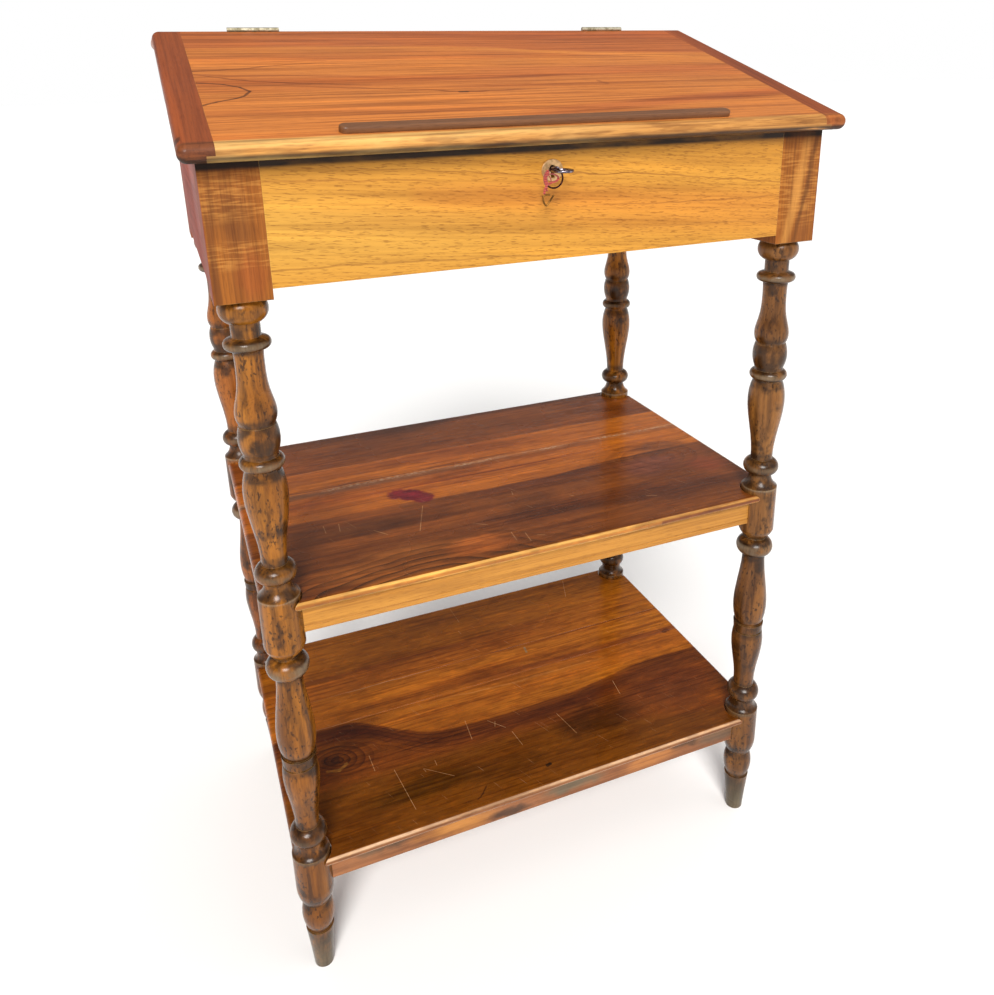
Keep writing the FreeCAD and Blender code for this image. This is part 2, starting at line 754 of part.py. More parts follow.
def lock_screw_places():
    x = lock_w / 2 + lock_flange / 2
    return [(sign * x, z) for z in (key_z - lock_screw_down, key_z + lock_screw_up)
            for sign in (-1, 1)]


def panel_screw(x, z, play=0.0):
    """Small countersunk screw driven forward into the panel's inner face."""
    start = FreeCAD.Vector(x, lock_back + lock_wall, z)
    forward = FreeCAD.Vector(0, -1, 0)
    head_h = small_screw_head_r - small_screw_r
    head = Part.makeCone(small_screw_head_r + play, small_screw_r + play, head_h, start, forward)
    return head.fuse(Part.makeCylinder(small_screw_r + play, small_screw_len + 2 * play, start, forward))


def lock_bolt():
    """Bolt head that rises into the lid, on a tail slotted for the drill pin."""
    head = box(-bolt_w / 2, bolt_w / 2, bolt_mid_y - bolt_t / 2, bolt_mid_y + bolt_t / 2,
               key_z + bit_reach + bolt_play, bolt_top)
    tail = box(-bolt_tail_w / 2, bolt_tail_w / 2, tail_front, tail_back,
               key_z - lock_drop + lock_wall + bolt_play,
               key_z + lock_top - lock_wall - bolt_throw - bolt_play)
    slot_w = drill_pin_r + bolt_play
    slot = box(-slot_w, slot_w, tail_front, tail_back, key_z - bolt_throw - slot_w, key_z + slot_w)
    return fused([head, tail.cut(slot)])


def strike_slab(play):
    middle = to_lid(bolt_mid_y, under_lid(bolt_mid_y))[0]
    return box(-strike_w / 2 - play, strike_w / 2 + play, middle - strike_d / 2 - play,
               middle + strike_d / 2 + play, -board_t, -board_t + strike_t + play)


def strike_hole():
    """Hollow the bolt rises into; the bolt stands upright while the lid leans."""
    middle = to_lid(bolt_mid_y, under_lid(bolt_mid_y))[0]
    lean = bolt_throw * math.sin(slope)
    y0 = middle - bolt_t / 2 - hollow_play - lean / 2
    y1 = middle + bolt_t / 2 + hollow_play + lean
    return box(-bolt_w / 2 - hollow_play, bolt_w / 2 + hollow_play, y0, y1,
               -board_t, -board_t + strike_depth)


def strike_screw_places():
    middle = to_lid(bolt_mid_y, under_lid(bolt_mid_y))[0]
    x = (strike_w / 2 + bolt_w / 2) / 2 + bolt_play
    return [(-x, middle), (x, middle)]


def lid_screw(x, y, play=0.0):
    start = FreeCAD.Vector(x, y, -board_t)
    upward = FreeCAD.Vector(0, 0, 1)
    head_h = small_screw_head_r - small_screw_r
    head = Part.makeCone(small_screw_head_r + play, small_screw_r + play, head_h, start, upward)
    return head.fuse(Part.makeCylinder(small_screw_r + play, small_screw_len + 2 * play, start, upward))


def strike_room():
    room = strike_slab(fit).fuse(strike_hole())
    for x, y in strike_screw_places():
        room = room.fuse(lid_screw(x, y, screw_fit))
    return room


def lock_strike():
    plate = strike_slab(0).cut(strike_hole())
    for x, y in strike_screw_places():
        plate = plate.cut(lid_screw(x, y, screw_fit))
    return plate


# ---- key, ring and tie --------------------------------------------------------------
bow_y = -face_y - stem_out - bow_half_w - bow_straight / 2


def key():
    """Pipe key: bored stem on the drill pin, bit across, round-barred oval bow."""
    stem_end = tail_front - stem_end_gap
    bow_back = bow_y + bow_straight / 2 + bow_half_w
    stem = rod(stem_r, stem_end - bow_back, 0, bow_back, key_z, (0, 1, 0))
    collar_ring = rod(collar_r, collar_len, 0, bow_back + bow_bar_r, key_z, (0, 1, 0))
    bit_y1 = stem_end
    bit = box(0, bit_reach, bit_y1 - bit_t, bit_y1, key_z - bit_h / 2, key_z + bit_h / 2)
    bore = rod(drill_pin_r + pin_fit, lock_depth + 2 * stem_r, 0,
               lock_back - lock_depth - 2 * stem_r, key_z, (0, 1, 0))
    return fused([stem, collar_ring, bit, bow()]).cut(bore)


def bow():
    """Oval of round bar, flat in the XY plane: two half turns and two straight sides."""
    axis = FreeCAD.Vector(0, 0, 1)
    pieces = []
    for sign in (-1, 1):
        centre = FreeCAD.Vector(0, bow_y + sign * bow_straight / 2, key_z)
        turn = Part.makeTorus(bow_half_w, bow_bar_r, centre, axis)
        y0 = centre.y if sign > 0 else centre.y - 2 * bow_half_w
        pieces.append(turn.common(box(-2 * bow_half_w, 2 * bow_half_w, y0, y0 + 2 * bow_half_w,
                                      key_z - bow_half_w, key_z + bow_half_w)))
        pieces.append(rod(bow_bar_r, bow_straight, sign * bow_half_w, bow_y - bow_straight / 2,
                          key_z, (0, 1, 0)))
    return fused(pieces)


ring_x = -bow_half_w
ring_top = bow_bar_r + ring_play + ring_wire_r
ring_z = key_z + ring_top - ring_r
knot_x = ring_x - ring_r * math.cos(math.radians(tie_angle))
knot_z = ring_z - ring_r * math.sin(math.radians(tie_angle))
tail_drop = tie_tail / math.hypot(1, tie_lean)


def key_ring():
    return Part.makeTorus(ring_r, ring_wire_r, FreeCAD.Vector(ring_x, bow_y, ring_z),
                          FreeCAD.Vector(0, 1, 0))


def red_tie():
    """Cotton tape knotted round the ring, with a short tail."""
    knot = Part.makeSphere(tie_knot_r, FreeCAD.Vector(knot_x, bow_y, knot_z))
    tail = Part.makeCone(tie_top_r, tie_r, tie_tail, FreeCAD.Vector(knot_x, bow_y, knot_z),
                         FreeCAD.Vector(tie_lean, 0, -1))
    wire = Part.makeTorus(ring_r, ring_wire_r + fit, FreeCAD.Vector(ring_x, bow_y, ring_z),
                          FreeCAD.Vector(0, 1, 0))
    return knot.fuse(tail).cut(wire)


def tag_loop():
    """Thin brass wire bent to a V, hung below the tie."""
    top = FreeCAD.Vector(knot_x + tie_lean * tail_drop, bow_y,
                         knot_z - tail_drop - loop_wire_r - loop_gap)
    corners = [top + FreeCAD.Vector(-loop_w / 2, 0, 0), top + FreeCAD.Vector(loop_w / 2, 0, 0),
               top + FreeCAD.Vector(0, 0, -loop_h)]
    pieces = []
    for start, end in zip(corners, corners[1:] + corners[:1]):
        pieces.append(Part.makeCylinder(loop_wire_r, start.distanceToPoint(end), start, end - start))
        pieces.append(Part.makeSphere(loop_wire_r, start))
    return fused(pieces)


# ---- the whole desk -----------------------------------------------------------------
def all_pieces():
    pieces = {}
    for x_sign, x_name in ((-1, "left"), (1, "right")):
        for y_sign, y_name in ((-1, "front"), (1, "back")):
            pieces["leg_" + y_name + "_" + x_name] = leg(x_sign, y_sign)
    for name, (board, tenons) in frame_boards.items():
        pieces[name] = fused([board] + tenons)
    panel = pieces["front_panel"]
    for room in lock_room():
        panel = panel.cut(room)
    for x, z in lock_screw_places():
        panel = panel.cut(panel_screw(x, z, screw_fit))
    for sign in (-1, 1):
        panel = panel.cut(plate_pin(sign, plate_pin_r + screw_fit, plate_pin_head_r))
    pieces["front_panel"] = panel
    line_z = upper_shelf_z - shelf_t - upper_rail_h + bead_line_up
    line = rod(bead_line_r, 2 * leg_x, -leg_x, -leg_y - rail_t / 2, line_z, (1, 0, 0))
    pieces["upper_rail_front"] = pieces["upper_rail_front"].cut(line)
    pieces.update(bottom_cleats())
    for name, plank in zip(("front", "middle", "back"), bottom_planks()):
        pieces["bottom_board_" + name] = plank
    for level, shelf_z, seams, radius in (
            ("upper", upper_shelf_z, upper_shelf_seams, block_r),
            ("lower", lower_shelf_z, lower_shelf_seams, lower_block_r)):
        for name, plank in zip(("front", "middle", "back"), shelf_planks(shelf_z, seams, radius)):
            pieces[level + "_shelf_" + name] = plank
    pieces["top_board"] = top_board()
    pieces["hinge_rail"] = hinge_rail()
    for name, piece in lid_pieces().items():
        pieces[name] = on_slope(piece)
    pieces["pen_ledge"] = on_slope(pen_ledge())
    for name, at_x in (("left", hinge_left_x), ("right", hinge_right_x)):
        pieces["hinge_leaf_lid_" + name] = on_slope(leaf(at_x, -1))
        pieces["hinge_leaf_case_" + name] = on_slope(leaf(at_x, 1))
    hinge_xs = (hinge_left_x, hinge_right_x)
    pieces["hinge_pins"] = Part.makeCompound([on_slope(hinge_pin(at_x)) for at_x in hinge_xs])
    for name, sign in (("lid", -1), ("case", 1)):
        screws = [on_slope(leaf_screw(x, sign)) for at_x in hinge_xs for x in screw_x(at_x)]
        pieces["hinge_screws_" + name] = Part.makeCompound(screws)
    pieces["escutcheon"] = escutcheon()
    pieces["escutcheon_pins"] = Part.makeCompound(
        [plate_pin(sign, plate_pin_r, plate_pin_head_r) for sign in (-1, 1)])
    pieces["lock_case"] = lock_case()
    pieces["lock_selvage"] = lock_selvage()
    pieces["lock_screws"] = Part.makeCompound([panel_screw(x, z) for x, z in lock_screw_places()])
    pieces["lock_bolt"] = lock_bolt()
    pieces["lock_strike"] = on_slope(lock_strike())
    pieces["strike_screws"] = on_slope(
        Part.makeCompound([lid_screw(x, y) for x, y in strike_screw_places()]))
    pieces["key"] = key()
    pieces["key_ring"] = key_ring()
    pieces["red_tie"] = red_tie()
    pieces["tag_loop"] = tag_loop()
    return pieces


def write(pieces):
    """Move the desk to the middle of its footprint and write one file a piece."""
    os.makedirs("parts", exist_ok=True)
    bow_front = bow_y - bow_straight / 2 - bow_half_w - bow_bar_r
    to_middle = FreeCAD.Vector(0, -(bow_front + top_back) / 2, 0)
    for name, shape in pieces.items():
        placed = shape.copy()
        placed.translate(to_middle)
        placed.exportStep(os.path.join("parts", name + ".step"))


write(all_pieces())
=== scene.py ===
from collections import namedtuple
import bmesh
import bpy
import math
from mathutils import Matrix, Vector


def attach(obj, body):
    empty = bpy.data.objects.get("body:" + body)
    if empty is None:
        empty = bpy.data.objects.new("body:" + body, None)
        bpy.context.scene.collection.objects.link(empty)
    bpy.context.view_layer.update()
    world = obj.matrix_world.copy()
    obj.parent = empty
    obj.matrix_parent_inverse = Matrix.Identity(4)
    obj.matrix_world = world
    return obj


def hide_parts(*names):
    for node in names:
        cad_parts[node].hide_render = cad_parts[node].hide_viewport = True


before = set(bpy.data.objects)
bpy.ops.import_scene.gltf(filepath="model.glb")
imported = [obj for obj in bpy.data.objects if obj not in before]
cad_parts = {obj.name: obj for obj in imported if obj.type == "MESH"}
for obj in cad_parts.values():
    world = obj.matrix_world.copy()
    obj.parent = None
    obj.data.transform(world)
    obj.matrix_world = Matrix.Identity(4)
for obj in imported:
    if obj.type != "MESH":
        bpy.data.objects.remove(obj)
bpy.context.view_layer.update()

# ---- sizes of the desk as it stands: metres, but figure in the wood is in millimetres ----
SLOPE = math.radians(17.1)
JOINT_Y, JOINT_Z = 0.11655, 1.185          # top edge of the lid at the hinge joint
LEG_X, LEG_Y, DESK_MIDDLE_Y = 0.332, 0.210, 0.01455
LEG_MM = 920.6                             # lower end of the square posts
RIM_MM = (573.8, 194.0)                    # upper rims of the turned blocks
SHELF_ARRIS_MM, SHELF_FRONT_MM = -215.3, -218.0    # where a highlight is painted on a shelf's front arris, and its front face
NOSING_MM = (-371.0, -376.0)               # where the lid's rounded edge begins, down the lid
NOSING_UNDER_MM = (-7.5, -12.0)            # its lower half, below the lid's top, where shade is painted
LID_CORNER = (1.0455, 1.0505)              # painted shade on the front begins, and is full
LID_COVER = (1.0555, 1.0590)               # above this the closed lid covers the front
CASE_FRONT = (-0.2225, -0.2236)            # both just behind the front faces of panel and posts
BEAD_R = (0.0226, 0.0248)                  # radii between which the crest of a bead begins
BLOCK_R = (0.0240, 0.0252)                 # and the rim of a turned block
POST_OUTSIDE = (0.0278, 0.0283)            # outer face of a post, from the middle of its leg
RING_MIDDLE = Vector((-0.0098, -0.24975, 1.02285))
RING_R = 0.01                              # key ring, to the middle of its wire
RING_WIRE_R = 0.00095

# ---- grain directions: each turns the grain onto the texture's first axis ----
ALONG_X = (0.0, 0.0, 0.0)
ALONG_Y = (0.0, 0.0, -math.pi / 2)
ALONG_Z = (0.0, math.pi / 2, 0.0)
FALLING_X = (0.0, -0.085, 0.0)             # grain that runs down to the right
LID_ACROSS = (-SLOPE, 0.0, 0.0)
LID_DOWN = (-SLOPE, 0.0, -math.pi / 2)

# ---- faces: each turn lays a face flat, along its length and then across it ----
SHELF_FACE = ((0.0, 0.0, 0.0), (0.0, 0.0, 0.0))
FRONT_FACE = ((-math.pi / 2, 0.0, 0.0), (0.0, 0.0, 0.0))
POST_FACE = ((math.pi / 2, 0.0, math.pi / 2), (0.0, 0.0, 0.0))
joint_mm = Matrix.Rotation(-SLOPE, 3, "X") @ Vector((0.0, JOINT_Y, JOINT_Z)) * 1000
LID_FACE = ((-SLOPE, 0.0, 0.0), tuple(-joint_mm))


def linear(code):
    """sRGB hex to the linear colour that the shaders take."""
    channels = [int(code[i:i + 2], 16) / 255 for i in (1, 3, 5)]
    return tuple(c / 12.92 if c <= 0.04045 else ((c + 0.055) / 1.055) ** 2.4 for c in channels) + (1.0,)


# ---- camera, light and floor ----
def camera():
    """A 31 mm lens at chest height before the desk, left of its middle, with the frame shifted down."""
    eye = Vector((-0.39523, -1.07712, 1.12504))
    yaw, pitch, roll = 0.3796, -0.3299, -0.0226
    ahead = Vector((math.sin(yaw) * math.cos(pitch), math.cos(yaw) * math.cos(pitch), math.sin(pitch)))
    level = Vector((math.cos(yaw), -math.sin(yaw), 0.0))
    above = level.cross(ahead)
    right = math.cos(roll) * level + math.sin(roll) * above
    up = -math.sin(roll) * level + math.cos(roll) * above
    data = bpy.data.cameras.new("camera")
    data.lens = 31.0
    data.sensor_width = 36.0
    data.shift_x = -0.0122
    data.shift_y = -0.1287
    data.clip_start = 0.05
    made = bpy.data.objects.new("camera", data)
    made.matrix_world = Matrix((right, up, -ahead)).transposed().to_4x4()
    made.location = eye
    bpy.context.scene.collection.objects.link(made)
    bpy.context.scene.camera = made


def far_light(name, source, strength, softness, colour):
    """Light from far off, so that the floor is evenly bright; softness is its width in radians."""
    data = bpy.data.lights.new(name, "SUN")
    data.energy = strength
    data.angle = softness
    data.color = linear(colour)[:3]
    made = bpy.data.objects.new(name, data)
    made.rotation_euler = (-Vector(source)).to_track_quat("-Z", "Y").to_euler()
    bpy.context.scene.collection.objects.link(made)


def studio():
    far_light("key_light", (-0.30, -0.76, 0.64), 3.8, 0.42, "#FFFCF8")
    far_light("fill_light", (0.75, -0.65, 0.75), 0.35, 0.9, "#FFFFFF")
    far_light("top_light", (0.30, 0.10, 1.20), 0.45, 0.9, "#FFFFFF")
    world = bpy.data.worlds.new("white_walls_under_a_dim_ceiling")
    world.use_nodes = True
    tree = world.node_tree
    look = add(tree, "TexCoord").outputs["Generated"]
    height = add(tree, "SeparateXYZ", {0: look}).outputs["Z"]
    wall = add(tree, "MapRange", {"Value": height, "From Min": 0.24, "From Max": 0.09, "To Min": 0.24,
                                  "To Max": 1.0}, **SMOOTH).outputs[0]
    tree.links.new(wall, tree.nodes["Background"].inputs["Strength"])
    tree.nodes["Background"].inputs["Color"].default_value = linear("#FFFFFF")
    bpy.context.scene.world = world
    bpy.context.scene.view_settings.view_transform = "Standard"


def floor():
    mesh = bpy.data.meshes.new("floor")
    shape = bmesh.new()
    bmesh.ops.create_grid(shape, x_segments=1, y_segments=1, size=60.0)
    shape.to_mesh(mesh)
    shape.free()
    made = bpy.data.objects.new("floor", mesh)
    bpy.context.scene.collection.objects.link(made)
    material, tree, shader = new_material("matt_studio_floor")
    shader.inputs["Base Color"].default_value = linear("#FCFCFC")
    shader.inputs["Roughness"].default_value = 1.0
    shader.inputs["Specular IOR Level"].default_value = 0.0
    mesh.materials.append(material)


# ---- shader making ----
SMOOTH = {"interpolation_type": "SMOOTHSTEP"}     # a range that starts and ends softly


def add(tree, kind, links=None, **settings):
    """One shader node, with its settings, and its inputs linked or set."""
    made = tree.nodes.new("ShaderNode" + kind)
    for name, value in settings.items():
        setattr(made, name, value)
    for key, value in (links or {}).items():
        if isinstance(value, bpy.types.NodeSocket):
            tree.links.new(value, made.inputs[key])
        else:
            made.inputs[key].default_value = value
    return made


def new_material(name):
    material = bpy.data.materials.new(name)
    material.use_nodes = True
    tree = material.node_tree
    return material, tree, tree.nodes["Principled BSDF"]


def dress(node, material):
    """Gives a piece of the frame its material."""
    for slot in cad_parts[node].material_slots:
        slot.material = material


def stain_over(tree, colour, share, most, code):
    """Lays another colour over the wood: share says where, most how strongly."""
    strength = add(tree, "Math", {0: share, 1: most}, operation="MULTIPLY").outputs[0]
    return add(tree, "Mix", {0: strength, 6: colour, 7: linear(code)}, data_type="RGBA").outputs[2]


def together(tree, share, *others):
    """The share of the surface that lies in every one of these."""
    for other in others:
        share = add(tree, "Math", {0: share, 1: other}, operation="MULTIPLY").outputs[0]
    return share


def off_line(tree, value, line):
    """How far a value lies from a line, to either side."""
    past = add(tree, "Math", {0: value, 1: line}, operation="SUBTRACT").outputs[0]
    return add(tree, "Math", {0: past}, operation="ABSOLUTE").outputs[0]


def deepen(tree, colour, share, most, times=(0.40, 0.30, 0.22)):
    """Darkens or lightens the wood as it is: times is what each channel comes to at full strength."""
    strength = add(tree, "Math", {0: share, 1: most}, operation="MULTIPLY").outputs[0]
    return add(tree, "Mix", {0: strength, 6: colour, 7: (*times, 1.0)}, data_type="RGBA",
               blend_type="MULTIPLY").outputs[2]


def stretched_noise(tree, place, along, across, detail=3.0, low=0.4, high=0.6):
    """Patches drawn out along the grain, from 0 to 1; along and across are in cells a metre."""
    scaled = add(tree, "VectorMath", {0: place, 1: (along, across, across)}, operation="MULTIPLY")
    cloud = add(tree, "TexNoise", {"Vector": scaled.outputs[0], "Scale": 1.0, "Detail": detail})
    return add(tree, "MapRange", {"Value": cloud.outputs["Fac"], "From Min": low, "From Max": high},
               **SMOOTH).outputs[0]


def ring_lines(tree, place, ring_mm, wander):
    """Growth rings about the grain axis: 0 in the early wood, 1 at the dark end of a ring."""
    slow = add(tree, "VectorMath", {0: place, 1: (1.4, 7.0, 7.0)}, operation="MULTIPLY").outputs[0]
    drift = add(tree, "TexNoise", {"Vector": slow, "Scale": 1.0, "Detail": 2.5, "Roughness": 0.5})
    pushed = add(tree, "VectorMath", {0: drift.outputs["Color"], 1: (0.0, wander, wander), 2: place},
                 operation="MULTIPLY_ADD").outputs[0]
    flat = add(tree, "VectorMath", {0: pushed, 1: (0.0, 1.0, 1.0)}, operation="MULTIPLY").outputs[0]
    radius = add(tree, "VectorMath", {0: flat}, operation="LENGTH").outputs["Value"]
    count = add(tree, "Math", {0: radius, 1: 1000.0 / ring_mm}, operation="MULTIPLY").outputs[0]
    part = add(tree, "Math", {0: count}, operation="FRACT").outputs[0]
    rise = add(tree, "Math", {0: part, 1: 2.5}, operation="POWER").outputs[0]
    fall = add(tree, "MapRange", {"Value": part, "From Min": 0.86, "From Max": 1.0, "To Min": 1.0,
                                  "To Max": 0.0}, **SMOOTH).outputs[0]
    return add(tree, "Math", {0: rise, 1: fall}, operation="MULTIPLY").outputs[0]


def worn_edges(tree, reach):
    """0 on the faces, 1 on the arrises, and the rounded normal that goes with them."""
    rounded = add(tree, "Bevel", {"Radius": reach}, samples=4).outputs["Normal"]
    true = add(tree, "NewGeometry").outputs["Normal"]
    match = add(tree, "VectorMath", {0: rounded, 1: true}, operation="DOT_PRODUCT").outputs["Value"]
    worn = add(tree, "MapRange", {"Value": match, "From Min": 0.99, "From Max": 0.88}, **SMOOTH).outputs[0]
    return worn, rounded


# ---- figure in the wood: each maker gives a layer that is laid over a face's colour ----
# flat is a place on the face in mm, along and across are the same with the grain's waver,
# stand is the place on the desk in metres, and grain the place in the tree that the wood came from
Face = namedtuple("Face", "tree flat along across stand grain")


def lay_flat(tree, stand, turn, grain):
    """A face in millimetres, with the small waver that grain has."""
    flat = add(tree, "Mapping", {"Vector": stand, "Location": turn[1], "Rotation": turn[0],
                                 "Scale": (1000.0, 1000.0, 1000.0)}).outputs[0]
    slow = add(tree, "VectorMath", {0: flat, 1: (0.02, 0.06, 0.06)}, operation="MULTIPLY").outputs[0]
    drift = add(tree, "TexNoise", {"Vector": slow, "Scale": 1.0, "Detail": 3.0}).outputs["Color"]
    wavered = add(tree, "VectorMath", {0: drift, 1: (0.0, 9.0, 9.0), 2: flat},
                  operation="MULTIPLY_ADD").outputs[0]
    true = add(tree, "VectorMath", {0: wavered, 1: (0.0, 4.5, 4.5)}, operation="SUBTRACT").outputs[0]
    cut = add(tree, "SeparateXYZ", {0: true})
    return Face(tree, flat, cut.outputs["X"], cut.outputs["Y"], stand, grain)


def course(tree, along, stops, values):
    """A smooth curve of values at the stops along a face."""
    low, high = min(values), max(max(values), min(values) + 1e-3)
    part = add(tree, "MapRange", {"Value": along, "From Min": stops[0], "From Max": stops[-1]}).outputs[0]
    bent = add(tree, "FloatCurve", {"Value": part})
    points = bent.mapping.curves[0].points
    while len(points) < len(stops):
        points.new(0.5, 0.5)
    for point, stop, value in zip(points, stops, values):
        point.location = ((stop - stops[0]) / (stops[-1] - stops[0]), (value - low) / (high - low))
    bent.mapping.update()
    return add(tree, "MapRange", {"Value": bent.outputs[0], "To Min": low, "To Max": high}).outputs[0]


def beside(code, most, line, soft=3.0, below=False):
    """Wood of another colour on one side of a grain line, given as (along, across)."""
    def layer(face, colour):
        tree = face.tree
        edge = course(tree, face.along, [p[0] for p in line], [p[1] for p in line])
        past = add(tree, "Math", {0: face.across, 1: edge}, operation="SUBTRACT").outputs[0]
        ends = (soft, -soft) if below else (-soft, soft)
        share = add(tree, "MapRange", {"Value": past, "From Min": ends[0], "From Max": ends[1]},
                    **SMOOTH).outputs[0]
        return stain_over(tree, colour, share, most, code)
    return layer


def vein(code, width, line):
    """A drawn-out line of colour, given as (along, across, strength)."""
    def layer(face, colour):
        tree = face.tree
        stops = [p[0] for p in line]
        middle = course(tree, face.along, stops, [p[1] for p in line])
        off = off_line(tree, face.across, middle)
        near = add(tree, "MapRange", {"Value": off, "From Min": width, "From Max": width * 0.15},
                   **SMOOTH).outputs[0]
        strength = course(tree, face.along, stops, [p[2] for p in line])
        return stain_over(tree, colour, together(tree, near, strength), 1.0, code)
    return layer


def nearness(face, start, end, half, rough=0.0):
    """1 on a straight mark from start to end, 0 past half its width."""
    tree = face.tree
    place = face.flat
    if rough:
        cloud = add(tree, "TexNoise", {"Vector": place, "Scale": 0.12, "Detail": 3.0}).outputs["Color"]
        place = add(tree, "VectorMath", {0: cloud, 1: (rough, rough, 0.0), 2: place},
                    operation="MULTIPLY_ADD").outputs[0]
    place = add(tree, "VectorMath", {0: place, 1: (1.0, 1.0, 0.0)}, operation="MULTIPLY").outputs[0]
    run = Vector((end[0] - start[0], end[1] - start[1], 0.0))
    back = add(tree, "VectorMath", {0: place, 1: (start[0], start[1], 0.0)}, operation="SUBTRACT").outputs[0]
    along = add(tree, "VectorMath", {0: back, 1: tuple(run / run.length_squared)},
                operation="DOT_PRODUCT").outputs["Value"]
    held = add(tree, "Clamp", {"Value": along}).outputs[0]
    foot = add(tree, "VectorMath", {0: tuple(run), "Scale": held}, operation="SCALE").outputs[0]
    off = add(tree, "VectorMath", {0: back, 1: foot}, operation="DISTANCE").outputs["Value"]
    return add(tree, "MapRange", {"Value": off, "From Min": half, "From Max": half * 0.6},
               **SMOOTH).outputs[0]


def mark(code, most, half, stops, rough=0.0):
    """A scratch, crack or spill through the stops, each (along, across)."""
    def layer(face, colour):
        for start, end in zip(stops, stops[1:]):
            colour = stain_over(face.tree, colour, nearness(face, start, end, half, rough), most, code)
        return colour
    return layer


def arris(code, edge, width, line):
    """A painted highlight along the crown of a board's straight front edge, given as (along, strength)."""
    def layer(face, colour):
        tree = face.tree
        depth = add(tree, "SeparateXYZ", {0: face.flat}).outputs["Y"]
        off = off_line(tree, depth, edge)
        near = add(tree, "MapRange", {"Value": off, "From Min": width, "From Max": width * 0.5}).outputs[0]
        strength = course(tree, face.along, [p[0] for p in line], [p[1] for p in line])
        return stain_over(tree, colour, together(tree, near, strength), 1.0, code)
    return layer


def cloudy_radius(face, scale, detail, push, centre, size):
    """How far from a centre, with a ragged outline; size is how drawn-out each way."""
    tree = face.tree
    cloud = add(tree, "TexNoise", {"Vector": face.flat, "Scale": scale, "Detail": detail}).outputs["Color"]
    pushed = add(tree, "VectorMath", {0: cloud, 1: (*push, 0.0), 2: face.flat},
                 operation="MULTIPLY_ADD").outputs[0]
    middle = (centre[0] + push[0] / 2, centre[1] + push[1] / 2, 0.0)
    from_middle = add(tree, "VectorMath", {0: pushed, 1: middle}, operation="SUBTRACT").outputs[0]
    squeezed = add(tree, "VectorMath", {0: from_middle, 1: (1.0 / size[0], 1.0 / size[1], 0.0)},
                   operation="MULTIPLY").outputs[0]
    return add(tree, "VectorMath", {0: squeezed}, operation="LENGTH").outputs["Value"]


def swirl(code, most, centre, size, line_mm, reach):
    """Grain lines that curl round a knot or crotch."""
    def layer(face, colour):
        tree = face.tree
        radius = cloudy_radius(face, 0.009, 1.6, (70.0, 50.0), centre, size)
        count = add(tree, "Math", {0: radius, 1: 1.0 / line_mm}, operation="MULTIPLY").outputs[0]
        part = add(tree, "Math", {0: count}, operation="FRACT").outputs[0]
        line = add(tree, "Math", {0: part, 1: 2.0}, operation="POWER").outputs[0]
        near = add(tree, "MapRange", {"Value": radius, "From Min": reach, "From Max": reach * 0.45},
                   **SMOOTH).outputs[0]
        return stain_over(tree, colour, together(tree, line, near), most, code)
    return layer


def patch(code, most, centre, size):
    """A soft cloud of colour; size is its half width along and across."""
    def layer(face, colour):
        radius = cloudy_radius(face, 0.03, 3.0, (40.0, 30.0), centre, size)
        share = add(face.tree, "MapRange", {"Value": radius, "From Min": 1.0, "From Max": 0.35},
                    **SMOOTH).outputs[0]
        return stain_over(face.tree, colour, share, most, code)
    return layer


